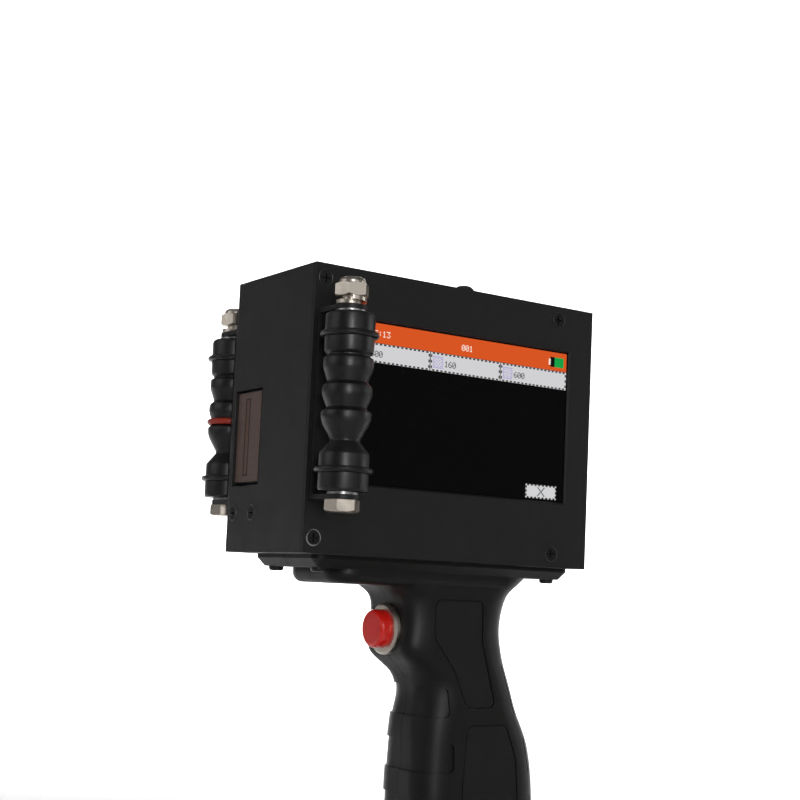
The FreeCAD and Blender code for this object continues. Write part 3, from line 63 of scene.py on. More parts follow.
MM = 0.001
CHAMFER_SLOPE = math.tan(math.radians(30))  # of bolt heads and nuts
DOT_TAPER = 0.94  # top of a raised cell against its foot
MERGE = 1e-5  # doubles of a turned section, in drawing millimetres
SHARP_ANGLE = math.radians(28)  # edges of a turned piece that stay crisp
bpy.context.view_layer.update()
HEAD_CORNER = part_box("front_cover")[0]
log = logging.getLogger("date_coder")


# ---------------------------------------------------------------- small tools

def linear(code: str) -> tuple[float, float, float, float]:
    """Turn an sRGB hex code into a linear colour.

    Args:
        code: Six hex digits, with or without a leading hash.

    Returns:
        Red, green, blue and an alpha of 1.
    """
    digits = code.lstrip("#")
    parts = [int(digits[i:i + 2], 16) / 255 for i in (0, 2, 4)]
    red, green, blue = (p / 12.92 if p <= 0.04045 else ((p + 0.055) / 1.055) ** 2.4 for p in parts)
    return red, green, blue, 1.0


def add_node(tree: NodeTree, kind: str, settings: Mapping | None = None,
             links: Mapping | None = None) -> Node:
    """Add a node with its settings and its incoming links.

    Args:
        tree: Node tree that gets the node.
        kind: Blender's name of the node type.
        settings: Values by attribute name, or by name or index of an input.
        links: Sockets that feed the node, by name or index of its input.

    Returns:
        The new node.
    """
    node = tree.nodes.new(kind)
    for key, value in (settings or {}).items():
        if isinstance(key, str) and hasattr(node, key):
            setattr(node, key, value)
        else:
            node.inputs[key].default_value = value
    for key, socket in (links or {}).items():
        tree.links.new(socket, node.inputs[key])
    return node


def head(x: float, y: float, z: float) -> Vector:
    """Point in metres from head measures off the print face, the screen face and the foot."""
    return HEAD_CORNER + Vector((x, y, z)) * MM


def facing_screen(x: float, z: float, depth: float) -> Matrix:
    """Place a flat drawing on the screen.

    Args:
        x: Head measure of the drawing's origin, in millimetres.
        z: Head measure of the drawing's origin, in millimetres.
        depth: Distance of its back behind the screen face, in millimetres.

    Returns:
        Matrix from drawing millimetres (right, up, outward) to metres.
    """
    turn = Matrix(((1, 0, 0, 0), (0, 0, -1, 0), (0, 1, 0, 0), (0, 0, 0, 1)))
    return Matrix.Translation(head(x, depth, z)) @ turn @ Matrix.Scale(MM, 4)


def settle(name: str, mesh: Mesh, place: Matrix, finish: "Finish", body: str = "root") -> bpy.types.Object:
    """Make a finished piece whose place is in its mesh, and let it ride on a body.

    Args:
        name: Name of the piece.
        mesh: Its mesh, in drawing millimetres.
        place: Matrix from the drawing to the row frame.
        finish: Finish that covers it.
        body: CAD body that carries it.

    Returns:
        The new object, at the origin and unturned.
    """
    mesh.transform(place)
    mesh.materials.clear()
    mesh.materials.append(finish.material())
    piece = bpy.data.objects.new(name, mesh)
    bpy.context.scene.collection.objects.link(piece)
    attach(piece, body)
    log.info("piece %s: %d faces on %s", name, len(mesh.polygons), body)
    return piece


def rounded_outline(width: float, height: float, radius: float, steps: int = 5) -> list[Vector]:
    """Corner-rounded rectangle from its lower left corner, anticlockwise.

    Args:
        width: Width in millimetres.
        height: Height in millimetres.
        radius: Corner radius in millimetres.
        steps: Segments of one corner.

    Returns:
        Points in the drawing plane.
    """
    points = []
    right, top = width - radius, height - radius
    centers = ((right, radius), (right, top), (radius, top), (radius, radius))
    for index, (cx, cy) in enumerate(centers):
        for step in range(steps + 1):
            angle = math.pi / 2 * (index - 1 + step / steps)
            x, y = cx + radius * math.cos(angle), cy + radius * math.sin(angle)
            points.append(Vector((x, y, 0)))
    return points


def tile(outline: Sequence[Vector], thickness: float, edge: float) -> Mesh:
    """Thin closed tile with a bevelled front edge.

    Args:
        outline: Points of its back face, anticlockwise seen from the front.
        thickness: Thickness in millimetres.
        edge: Width of the front bevel in millimetres.

    Returns:
        The mesh, with outward faces.
    """
    shape = bmesh.new()
    middle = sum(outline, Vector()) / len(outline)
    rings = []
    for inset, height in ((0.0, 0.0), (0.0, thickness - edge), (edge, thickness)):
        ring = []
        for point in outline:
            inward = (middle - point).normalized() * inset
            ring.append(shape.verts.new(point + inward + Vector((0, 0, height))))
        rings.append(ring)
    count = len(outline)
    for low, high in zip(rings, rings[1:]):
        for i in range(count):
            j = (i + 1) % count
            shape.faces.new((low[i], low[j], high[j], high[i]))
    shape.faces.new(list(reversed(rings[0])))
    shape.faces.new(rings[-1])
    bmesh.ops.recalc_face_normals(shape, faces=shape.faces)
    mesh = bpy.data.meshes.new("tile")
    shape.to_mesh(mesh)
    shape.free()
    return mesh


def lathe(section: Section, segments: int = 48, start: float = 0.0, span: float = 360.0) -> Mesh:
    """Sweep a closed section round the drawing's Z axis.

    Args:
        section: Radius and height pairs of the section at an angle, in order round its edge.
        segments: Steps of the sweep.
        start: Angle of the first step in degrees.
        span: Angle swept, in degrees; less than a full turn gets end caps.

    Returns:
        The mesh, with outward faces, smooth except at its edges.
    """
    shape = bmesh.new()
    whole = span >= 360
    steps = segments if whole else segments + 1
    columns = []
    for step in range(steps):
        angle = math.radians(start + span * step / segments)
        c, s = math.cos(angle), math.sin(angle)
        columns.append([shape.verts.new((r * c, r * s, h)) for r, h in section(angle)])
    count = len(columns[0])
    for step in range(segments):
        here, there = columns[step], columns[(step + 1) % steps]
        for i in range(count):
            j = (i + 1) % count
            shape.faces.new((here[i], there[i], there[j], here[j]))
    if not whole:
        shape.faces.new(columns[0])
        shape.faces.new(list(reversed(columns[-1])))
    bmesh.ops.remove_doubles(shape, verts=shape.verts, dist=MERGE)
    bmesh.ops.recalc_face_normals(shape, faces=shape.faces)
    mesh = bpy.data.meshes.new("lathe")
    shape.to_mesh(mesh)
    shape.free()
    mesh.shade_smooth()
    mesh.set_sharp_from_angle(angle=SHARP_ANGLE)
    return mesh


def bead(radius: float, wire: float, height: float = 0.0, steps: int = 12) -> Section:
    """Round section of a ring.

    Args:
        radius: Radius of the ring's centre line.
        wire: Radius of its wire.
        height: Height of its centre line.
        steps: Corners of the section.

    Returns:
        Section for a lathe.
    """
    turns = [2 * math.pi * k / steps for k in range(steps)]
    points = [(radius + wire * math.cos(t), height + wire * math.sin(t)) for t in turns]
    return lambda angle: points


# ---------------------------------------------------------------- finishes

class Grain(Enum):
    """How the fine relief of a surface runs."""

    EVEN = (1.0, 1.0, 1.0)
    ALONG = (0.06, 1.0, 1.0)


@dataclass(frozen=True)
class Finish:
    """A real surface: its colour, its gloss, its fine relief and its slow mottling.

    Grain finer than a third of a millimetre is drawn that coarse, so that it shows.
    """

    name: str
    color: str
    roughness: float = 0.5
    metallic: float = 0.0
    ior: float = 1.5
    grain_mm: float = 0.4
    grain_depth_mm: float = 0.01
    grain: Grain = Grain.EVEN
    mottle_mm: float = 25.0
    mottle: float = 0.08
    gloss_spread: float = 0.05
    coat: float = 0.0
    coat_roughness: float = 0.08
    shine: float = 0.5

    def material(self) -> bpy.types.Material:
        """Give the material of this finish, made once.

        Returns:
            The material.
        """
        found = bpy.data.materials.get(self.name)
        return found if found else self.make()

    def make(self) -> bpy.types.Material:
        """Build the material's node tree.

        Returns:
            The new material.
        """
        material = bpy.data.materials.new(self.name)
        material.use_nodes = True
        tree = material.node_tree
        tree.nodes.clear()
        shader = add_node(tree, "ShaderNodeBsdfPrincipled", {
            "Base Color": linear(self.color), "Roughness": self.roughness,
            "Metallic": self.metallic})
        if not self.metallic:
            shader.inputs["IOR"].default_value = self.ior
            shader.inputs["Specular IOR Level"].default_value = self.shine
        if self.coat:
            shader.inputs["Coat Weight"].default_value = self.coat
            shader.inputs["Coat Roughness"].default_value = self.coat_roughness
        coords = add_node(tree, "ShaderNodeTexCoord").outputs["Object"]
        self.tint(tree, shader, coords)
        self.relief(tree, shader, coords)
        add_node(tree, "ShaderNodeOutputMaterial", links={"Surface": shader.outputs[0]})
        return material

    def shades(self) -> tuple[Sequence[float], Sequence[float]]:
        """Work out the ends of the mottled colour.

        Returns:
            The darker and the lighter colour.
        """
        base = linear(self.color)
        dark = [c * (1 - self.mottle) for c in base[:3]] + [1.0]
        light = [min(1.0, c * (1 + self.mottle)) for c in base[:3]] + [1.0]
        return dark, light

    def tint(self, tree: NodeTree, shader: Node, coords: Socket) -> None:
        """Vary colour and gloss slowly over the surface.

        Args:
            tree: Material's node tree.
            shader: Its surface shader.
            coords: Object coordinates.
        """
        slow = add_node(tree, "ShaderNodeTexNoise", {
            "Scale": 1 / (self.mottle_mm * MM), "Detail": 4.0}, {"Vector": coords}).outputs[0]
        dark, light = self.shades()
        color = add_node(tree, "ShaderNodeMix", {
            "data_type": "RGBA", 6: dark, 7: light}, {0: slow})
        tree.links.new(color.outputs[2], shader.inputs["Base Color"])
        gloss = add_node(tree, "ShaderNodeMapRange", {
            "From Min": 0.3, "From Max": 0.7, "To Min": self.roughness - self.gloss_spread,
            "To Max": self.roughness + self.gloss_spread}, {"Value": slow})
        tree.links.new(gloss.outputs[0], shader.inputs["Roughness"])

    def height(self, tree: NodeTree, coords: Socket) -> Socket:
        """Height pattern of the fine relief.

        Args:
            tree: Material's node tree.
            coords: Object coordinates.

        Returns:
            Socket with the height, about 0 to 1.
        """
        run = add_node(tree, "ShaderNodeMapping", {"Scale": self.grain.value},
                       {"Vector": coords}).outputs[0]
        return add_node(tree, "ShaderNodeTexNoise", {
            "Scale": 1 / (self.grain_mm * MM), "Detail": 2.0}, {"Vector": run}).outputs[0]

    def relief(self, tree: NodeTree, shader: Node, coords: Socket) -> None:
        """Lay the fine relief on the surface.

        Args:
            tree: Material's node tree.
            shader: Its surface shader.
            coords: Object coordinates.
        """
        bump = add_node(tree, "ShaderNodeBump", {
            "Strength": 1.0, "Distance": self.grain_depth_mm * MM},
            {"Height": self.height(tree, coords)})
        tree.links.new(bump.outputs[0], shader.inputs["Normal"])


@dataclass(frozen=True)
class SeamedShell(Finish):
    """Moulded half shells: satin spark-eroded skin with a fine parting line between the halves."""

    seam_mm: float = 0.2
    seam_depth_mm: float = 0.3

    def tint(self, tree: NodeTree, shader: Node, coords: Socket) -> None:
        """Skin colour and gloss; inside the parting line, black as painted shade of its groove, and dull.

        Args:
            tree: Material's node tree.
            shader: Its surface shader.
            coords: Object coordinates.
        """
        super().tint(tree, shader, coords)
        across = add_node(tree, "ShaderNodeSeparateXYZ", links={0: coords}).outputs["Y"]
        seam_shade_mask = add_node(tree, "ShaderNodeMath", {
            "operation": "COMPARE", 1: 0.0, 2: 0.6 * self.seam_mm * MM}, {0: across}).outputs[0]
        skin = shader.inputs["Base Color"].links[0].from_socket
        # Painted shade: the groove of the parting line is coloured black.
        color = add_node(tree, "ShaderNodeMix", {
            "data_type": "RGBA", 7: (0.0, 0.0, 0.0, 1.0)}, {0: seam_shade_mask, 6: skin})
        tree.links.new(color.outputs[2], shader.inputs["Base Color"])
        gloss = shader.inputs["Roughness"].links[0].from_socket
        dull = add_node(tree, "ShaderNodeMath", {"operation": "MAXIMUM"},
                        {0: gloss, 1: seam_shade_mask})
        tree.links.new(dull.outputs[0], shader.inputs["Roughness"])

    def height(self, tree: NodeTree, coords: Socket) -> Socket:
        """Skin grain with the parting line cut into it, in the plane between the halves.

        Args:
            tree: Material's node tree.
            coords: Object coordinates.

        Returns:
            Socket with the height, far below 0 inside the parting line.
        """
        skin = super().height(tree, coords)
        across = add_node(tree, "ShaderNodeSeparateXYZ", links={0: coords}).outputs["Y"]
        off = add_node(tree, "ShaderNodeMath", {"operation": "ABSOLUTE"}, {0: across}).outputs[0]
        wall = add_node(tree, "ShaderNodeMapRange", {
            "interpolation_type": "SMOOTHSTEP", "From Min": 0.0, "From Max": self.seam_mm * MM,
            "To Min": -self.seam_depth_mm / self.grain_depth_mm, "To Max": 0.0},
            {"Value": off}).outputs[0]
        return add_node(tree, "ShaderNodeMath", {"operation": "ADD"},
                        {0: skin, 1: wall}).outputs[0]


@dataclass(frozen=True)
class TurnedRubber(Finish):
    """Rubber turned on a lathe: satin, with faint tool rings round an upright axis."""

    ring_mm: float = 0.9
    ring_share: float = 0.35

    def height(self, tree: NodeTree, coords: Socket) -> Socket:
        """Skin grain with tool rings along the axis.

        Args:
            tree: Material's node tree.
            coords: Object coordinates.

        Returns:
            Socket with the height, about 0 to 1.
        """
        skin = super().height(tree, coords)
        up = add_node(tree, "ShaderNodeSeparateXYZ", links={0: coords}).outputs["Z"]
        phase = add_node(tree, "ShaderNodeMath", {
            "operation": "MULTIPLY", 1: 2 * math.pi / (self.ring_mm * MM)}, {0: up}).outputs[0]
        rings = add_node(tree, "ShaderNodeMath", {"operation": "SINE"}, {0: phase}).outputs[0]
        return add_node(tree, "ShaderNodeMath", {"operation": "MULTIPLY_ADD", 1: self.ring_share},
                        {0: rings, 2: skin}).outputs[0]


@dataclass(frozen=True)
class WornScrew(Finish):
    """Blackened screws, one of them with its blacking rubbed off the rim of the head."""

    worn_at: tuple[float, float, float] = (0.0, 0.0, 0.0)
    rim_mm: float = 2.55
    rim_width_mm: float = 0.2
    bare: str = "#B4B2B0"

    def tint(self, tree: NodeTree, shader: Node, coords: Socket) -> None:
        """Blacking everywhere, bare steel on the worn rim.

        Args:
            tree: Material's node tree.
            shader: Its surface shader.
            coords: Object coordinates.
        """
        super().tint(tree, shader, coords)
        black = shader.inputs["Base Color"].links[0].from_socket
        off = add_node(tree, "ShaderNodeVectorMath", {
            "operation": "SUBTRACT", 1: self.worn_at}, {0: coords}).outputs[0]
        flat = add_node(tree, "ShaderNodeVectorMath", {
            "operation": "MULTIPLY", 1: (1, 0, 1)}, {0: off}).outputs[0]
        radius = add_node(tree, "ShaderNodeVectorMath", {"operation": "LENGTH"},
                          {0: flat}).outputs["Value"]
        mask = add_node(tree, "ShaderNodeMath", {
            "operation": "COMPARE", 1: self.rim_mm * MM, 2: self.rim_width_mm * MM},
            {0: radius}).outputs[0]
        color = add_node(tree, "ShaderNodeMix", {
            "data_type": "RGBA", 7: linear(self.bare)}, {0: mask, 6: black})
        tree.links.new(color.outputs[2], shader.inputs["Base Color"])


@dataclass(frozen=True)
class LitInk(Finish):
    """One colour of a backlit display, seen through its front glass as fine rows of cells."""

    glow: float = 1.0
    cell_mm: float = 0.45
    cell_dip: float = 0.06
    unlit: float = 0.002
    glass_shine: float = 0.25

    def tint(self, tree: NodeTree, shader: Node, coords: Socket) -> None:
        """Glow in the ink's colour, slightly darker between the rows of cells.

        Args:
            tree: Material's node tree.
            shader: Its surface shader.
            coords: Object coordinates.
        """
        base = linear(self.color)
        dim = [c * (1 - self.cell_dip) for c in base[:3]] + [1.0]
        up = add_node(tree, "ShaderNodeSeparateXYZ", links={0: coords}).outputs["Z"]
        row = add_node(tree, "ShaderNodeMath", {
            "operation": "PINGPONG", 1: 0.5 * self.cell_mm * MM}, {0: up}).outputs[0]
        share = add_node(tree, "ShaderNodeMapRange", {
            "From Max": 0.15 * self.cell_mm * MM}, {"Value": row}).outputs[0]
        color = add_node(tree, "ShaderNodeMix", {
            "data_type": "RGBA", 6: dim, 7: base}, {0: share})
        shader.inputs["Base Color"].default_value = (self.unlit, self.unlit, self.unlit, 1.0)
        shader.inputs["Specular IOR Level"].default_value = self.glass_shine
        tree.links.new(color.outputs[2], shader.inputs["Emission Color"])
        shader.inputs["Emission Strength"].default_value = self.glow


@dataclass(frozen=True)
class PrintedBoard(Finish):
    """Glass-epoxy circuit board under green solder mask, with the copper runs showing through."""

    run_color: str = "#2E7A4C"
    run_mm: float = 3.2
    run_share: float = 0.12

    def tint(self, tree: NodeTree, shader: Node, coords: Socket) -> None:
        """Mask colour with lighter copper runs on a square grid.

        Args:
            tree: Material's node tree.
            shader: Its surface shader.
            coords: Object coordinates.
        """
        flat = add_node(tree, "ShaderNodeMapping", {"Rotation": (math.pi / 2, 0, 0)},
                        {"Vector": coords}).outputs[0]
        runs = add_node(tree, "ShaderNodeTexBrick", {
            "Scale": 1 / (self.run_mm * MM), "Mortar Size": self.run_share,
            "Color1": linear(self.color), "Color2": linear(self.color),
            "Mortar": linear(self.run_color)}, {"Vector": flat})
        tree.links.new(runs.outputs["Color"], shader.inputs["Base Color"])


@dataclass(frozen=True)
class BondedFilm(Finish):
    """Polyimide film bonded over a steel nozzle plate: a brown sheen with faint bond lines."""

    line_mm: float = 3.1
    line_half_mm: float = 0.25
    line_share: float = 0.5
    line_color: str = "#4C3E3A"

    def tint(self, tree: NodeTree, shader: Node, coords: Socket) -> None:
        """Film colour with lighter bond lines one above the other.

        Args:
            tree: Material's node tree.
            shader: Its surface shader.
            coords: Object coordinates.
        """
        super().tint(tree, shader, coords)
        film = shader.inputs["Base Color"].links[0].from_socket
        up = add_node(tree, "ShaderNodeSeparateXYZ", links={0: coords}).outputs["Z"]
        row = add_node(tree, "ShaderNodeMath", {
            "operation": "PINGPONG", 1: 0.5 * self.line_mm * MM}, {0: up}).outputs[0]
        near = add_node(tree, "ShaderNodeMapRange", {
            "From Min": 0.0, "From Max": self.line_half_mm * MM, "To Min": self.line_share,
            "To Max": 0.0}, {"Value": row}).outputs[0]
        color = add_node(tree, "ShaderNodeMix", {
            "data_type": "RGBA", 7: linear(self.line_color)}, {0: near, 6: film})
        tree.links.new(color.outputs[2], shader.inputs["Base Color"])


@dataclass(frozen=True)
class ClearCap(Finish):
    """Polycarbonate push button, injection moulded and polished: light goes a little way in."""

    depth_mm: float = 1.2
    inner_light: float = 0.25

    def make(self) -> bpy.types.Material:
        """Add light scattered inside the cap to the plain finish.

        Returns:
            The new material.
        """
        material = super().make()
        shader = next(n for n in material.node_tree.nodes if n.type == "BSDF_PRINCIPLED")
        shader.inputs["Subsurface Weight"].default_value = self.inner_light
        shader.inputs["Subsurface Scale"].default_value = self.depth_mm * MM
        return material


# Powder-coated sheet steel, baked: dull black with an even pebbled skin.
CASE_PAINT = Finish(
    "powder_coated_steel_case", "#181818", 0.5, grain_mm=0.5, grain_depth_mm=0.03, mottle_mm=18,
    mottle=0.1, gloss_spread=0.06, shine=0.4)
# The same coat on the front plate, drawn darker as painted shade of the front face, and slightly softer.
COVER_PAINT_SHADED = Finish(
    "powder_coated_steel_front", "#0D0D0D", 0.55, grain_mm=0.55, grain_depth_mm=0.03, mottle_mm=22,
    mottle=0.1, gloss_spread=0.06, shine=0.4)
# The same coat on the bent brackets.
BRACKET_PAINT = Finish(
    "powder_coated_steel_bracket", "#0F0F0F", 0.5, grain_mm=0.5, grain_depth_mm=0.02, shine=0.4)
# Steel screws blackened in hot salts: dark, half bright.
BLACK_SCREW = Finish(
    "black_oxide_steel", "#2A2A2B", 0.38, 0.7, grain_mm=0.35, grain_depth_mm=0.004)
# The same blacking on the pressed lip round a screw, drawn lighter as a painted highlight on its rim.
SCREW_LIP_HIGHLIGHT = Finish(
    "black_oxide_steel_rubbed", "#4C4C4D", 0.3, 0.8, grain_mm=0.35, grain_depth_mm=0.003)
# Nickel-plated steel nuts and bolts: warm and bright, with cutter marks along the flats.
NICKEL = Finish(
    "nickel_plated_steel", "#C9C0B4", 0.34, 1.0, grain_mm=0.4, grain_depth_mm=0.01,
    grain=Grain.ALONG, mottle_mm=3.5, mottle=0.16, gloss_spread=0.09)
# Zinc-plated steel washers and posts: pale and clouded.
ZINC = Finish(
    "zinc_plated_steel", "#A9ABAA", 0.36, 1.0, grain_mm=0.4, grain_depth_mm=0.005, mottle_mm=4,
    mottle=0.12)
# Stamped tinned steel of the socket shell: brighter, drawn in one direction.
TINNED = Finish(
    "tinned_steel_stamped", "#B9BABB", 0.3, 1.0, grain_mm=0.35, grain_depth_mm=0.004,
    grain=Grain.ALONG)
# Sintered bronze bushings: brown gold, dull from their pores.
BRONZE = Finish("sintered_bronze", "#8F6B3C", 0.48, 1.0, grain_mm=0.35, grain_depth_mm=0.012)
# Gold-plated contacts.
GOLD = Finish("gold_plated_contact", "#D2A24A", 0.25, 1.0, grain_mm=0.35, grain_depth_mm=0.002)
# Nitrile rubber turned on a mandrel: black with a satin streak along each roller.
ROLLER = TurnedRubber(
    "nitrile_rubber_turned", "#0C0C0D", 0.4, grain_mm=0.7, grain_depth_mm=0.012, mottle_mm=9,
    mottle=0.14, gloss_spread=0.08)
# Nitrile o-rings, moulded: smoother and slightly greyer than the rollers.
RING = Finish(
    "nitrile_rubber_moulded_ring", "#0E0E0E", 0.36, grain_mm=0.35, grain_depth_mm=0.004,
    mottle_mm=6)
# Silicone o-ring, moulded: brick red with a soft sheen.
RED_RING = Finish(
    "silicone_rubber_moulded_ring", "#A02B1B", 0.45, grain_mm=0.35, grain_depth_mm=0.004,
    mottle_mm=6)
# ABS shells, injection moulded in a spark-eroded tool: warm black satin with a parting line.
SHELL = SeamedShell(
    "abs_injection_moulded_shell", "#121111", 0.44, grain_mm=0.35, grain_depth_mm=0.012,
    mottle_mm=20, mottle=0.07, gloss_spread=0.04, shine=0.28)
# ABS base plate from the same tool steel.
BASE = Finish("abs_injection_moulded_base", "#121111", 0.48, grain_mm=0.35, grain_depth_mm=0.012)
# Thermoplastic elastomer pads, overmoulded: duller and softer than the shells.
PAD = Finish(
    "elastomer_overmoulded_pad", "#101010", 0.55, grain_mm=0.4, grain_depth_mm=0.02, mottle_mm=14,
    shine=0.3)
# Screen panel: float glass with black print behind it, polished; finger marks vary the gloss.
PANEL_GLASS = Finish(
    "black_backed_float_glass", "#020202", 0.09, grain_mm=60, grain_depth_mm=0.002, mottle_mm=12,
    mottle=0.0, gloss_spread=0.05, shine=0.25)
# Dark cells of the display where nothing is lit.
DARK_CELLS = LitInk("lcd_dark_cells", "#000000", 0.1, grain_mm=50, grain_depth_mm=0.001, glow=1.0)
# Lit cells of the status bar: strong orange.
BAR_INK = LitInk("lcd_orange_bar", "#DD5620", 0.12, grain_mm=50, grain_depth_mm=0.001, glow=0.95)
# Lit cells of the keys: pale grey.
KEY_INK = LitInk("lcd_grey_key", "#D6D6D8", 0.12, grain_mm=50, grain_depth_mm=0.001, glow=0.95)
# Lit cells of the marks on the bar: white, warmed by the orange beside them.
WHITE_INK = LitInk("lcd_white_mark", "#FFE9DA", 0.12, grain_mm=50, grain_depth_mm=0.001)
# Cells held dark on a lit key: black digits and dashes.
BLACK_INK = LitInk("lcd_black_mark", "#060606", 0.12, grain_mm=50, grain_depth_mm=0.001)
# Lit cells of the charge mark: clear green.
GREEN_INK = LitInk("lcd_green_charge", "#12A046", 0.12, grain_mm=50, grain_depth_mm=0.001)
# Lit cells of the keypad mark: pale violet.
VIOLET_INK = LitInk("lcd_violet_mark", "#9A86D8", 0.12, grain_mm=50, grain_depth_mm=0.001)
# Closed-cell foam gasket, die cut: matte with open pores.
FOAM = Finish("closed_cell_foam", "#1B1B1B", 0.9, grain_mm=0.6, grain_depth_mm=0.08, mottle=0.15)
# Glass-epoxy board under solder mask: satin green with lighter runs.
BOARD = PrintedBoard("solder_masked_board", "#12502E", 0.35, grain_mm=0.4, grain_depth_mm=0.01)
# Epoxy chip bodies, transfer moulded: grey black, very even.
CHIP = Finish("epoxy_moulded_chip", "#1A1A1C", 0.6, grain_mm=0.35, grain_depth_mm=0.01)
# Glass-filled nylon of cradle and sockets: dull black with flow marks.
NYLON = Finish(
    "glass_filled_nylon", "#1C1C1D", 0.62, grain_mm=0.45, grain_depth_mm=0.02, mottle_mm=8,
    mottle=0.14)
# Polypropylene cartridge body, moulded: smooth grey black.
CARTRIDGE = Finish(
    "polypropylene_moulded", "#242426", 0.42, grain_mm=0.35, grain_depth_mm=0.008, mottle_mm=16)
# Polyimide film over the nozzle plate: a dull brown sheen.
FILM = BondedFilm(
    "polyimide_film_on_steel", "#614E47", 0.4, grain_mm=0.4, grain_depth_mm=0.006, mottle_mm=7,
    mottle=0.12)
# Edge of the nozzle chip inside its slot: etched silicon and gold, a dull brass line.
NOZZLE_EDGE = Finish(
    "etched_nozzle_strip", "#8A6044", 0.35, 0.8, grain_mm=0.35, grain_depth_mm=0.004)
# Black strips laid over the slots round the chip: painted shadow of the narrow slots, nearly black.
NOZZLE_SLOT_SHADOW = Finish("etched_nozzle_channel", "#0A0808", 0.6, grain_mm=0.35, grain_depth_mm=0.002)
# Polished polycarbonate cap: glossy red that lets some light in.
RED_CAP = ClearCap(
    "polycarbonate_polished_cap", "#E21C12", 0.22, ior=1.58, grain_mm=2.5, grain_depth_mm=0.006,
    mottle_mm=7, mottle=0.1, coat=0.25)
# Silicone dome of the power button, moulded.
DOME = Finish("silicone_moulded_dome", "#1C1C1C", 0.55, grain_mm=0.4, grain_depth_mm=0.01)
# Shrink sleeve on the cells: blue film, glossy and slightly wrinkled.
SLEEVE = Finish(
    "shrink_sleeve_film", "#1B4E8C", 0.25, grain_mm=3.0, grain_depth_mm=0.05, mottle_mm=9)
# Ferrite magnet in its steel cup.
MAGNET = Finish(
    "ferrite_magnet", "#4A4A4D", 0.45, 0.6, grain_mm=0.5, grain_depth_mm=0.02, mottle=0.15)


@dataclass
class CoverScrews:
    """Four cross-recessed screws of the front plate; the lower left one is worn."""

    worn_x: float = 3.9
    worn_z: float = 5.0

    def finish(self) -> WornScrew:
        """Make the blacking with its rim worn at one screw.

        Returns:
            The finish.
        """
        return WornScrew(
            "black_oxide_steel_worn", BLACK_SCREW.color, BLACK_SCREW.roughness,
            BLACK_SCREW.metallic, grain_mm=BLACK_SCREW.grain_mm,
            grain_depth_mm=BLACK_SCREW.grain_depth_mm,
            worn_at=tuple(head(self.worn_x, 0, self.worn_z)))

    def dress(self) -> None:
        """Put the finish on the CAD screws."""
        dress_node("front_cover_screws", self.finish())


def dress_node(node: str, finish: Finish) -> None:
    """Cover a CAD node with a finish.

    Args:
        node: Name of the CAD node.
        finish: Finish that it gets.
    """
    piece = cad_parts[node]
    piece.data.materials.clear()
    piece.data.materials.append(finish.material())
    log.info("node %s: %s", node, finish.name)


# ---------------------------------------------------------------- repeated pieces

@dataclass
class Pattern:
    """A Geometry Nodes tree with named inputs that ends in plain, finished geometry."""

    name: str
    inputs: Mapping[str, tuple[str, object]]
    tree: NodeTree = field(init=False)

    def __post_init__(self) -> None:
        """Make the tree and its named inputs."""
        self.tree = bpy.data.node_groups.new(self.name, "GeometryNodeTree")
        sockets = self.tree.interface
        sockets.new_socket("Geometry", in_out="INPUT", socket_type="NodeSocketGeometry")
        for name, (kind, value) in self.inputs.items():
            socket = sockets.new_socket(name, in_out="INPUT", socket_type=kind)
            socket.default_value = value
        sockets.new_socket("Geometry", in_out="OUTPUT", socket_type="NodeSocketGeometry")
        self.entry = add_node(self.tree, "NodeGroupInput")

    def socket(self, name: str) -> Socket:
        """Output socket of a named input."""
        return self.entry.outputs[name]

    def close(self, geometry: Socket, finish: Finish) -> None:
        """End the tree in Realize Instances and Set Material.

        Args:
            geometry: Geometry that the tree has built.
            finish: Finish of the result.
        """
        plain = add_node(self.tree, "GeometryNodeRealizeInstances", links={0: geometry})
        covered = add_node(self.tree, "GeometryNodeSetMaterial", {"Material": finish.material()},
                           {"Geometry": plain.outputs[0]})
        add_node(self.tree, "NodeGroupOutput", links={0: covered.outputs[0]})

    def mesh(self, values: Mapping[str, object],
             points: Iterable[Sequence[float]] = ((0, 0, 0),)) -> Mesh:
        """Evaluate the tree once.

        Args:
            values: Values of the named inputs.
            points: Points that enter the tree as a mesh.

        Returns:
            The result as a plain mesh.
        """
        seed = bpy.data.meshes.new(self.name + "_seed")
        seed.from_pydata([tuple(p) for p in points], [], [])
        holder = bpy.data.objects.new(self.name + "_seed", seed)
        bpy.context.scene.collection.objects.link(holder)
        modifier = holder.modifiers.new(self.name, "NODES")
        modifier.node_group = self.tree
        names = {item.name: item.identifier for item in self.tree.interface.items_tree
                 if item.in_out == "INPUT"}
        for name, value in values.items():
            modifier[names[name]] = value
        graph = bpy.context.evaluated_depsgraph_get()
        result = bpy.data.meshes.new_from_object(holder.evaluated_get(graph))
        holder.modifiers.remove(modifier)
        bpy.data.objects.remove(holder)
        return result


def dash_field(finish: Finish) -> Pattern:
    """Short straight dashes, one on each point that enters.

    Args:
        finish: Finish of the dashes.

    Returns:
        Pattern with input Size, in millimetres.
    """
    pattern = Pattern(f"dash_field_{finish.name}", {
        "Size": ("NodeSocketVector", (0.9, 0.5, 0.03))})
    tree = pattern.tree
    dash = add_node(tree, "GeometryNodeMeshCube", links={"Size": pattern.socket("Size")})
    placed = add_node(tree, "GeometryNodeInstanceOnPoints", links={
        "Points": pattern.socket("Geometry"), "Instance": dash.outputs[0]})
    pattern.close(placed.outputs[0], finish)
    return pattern


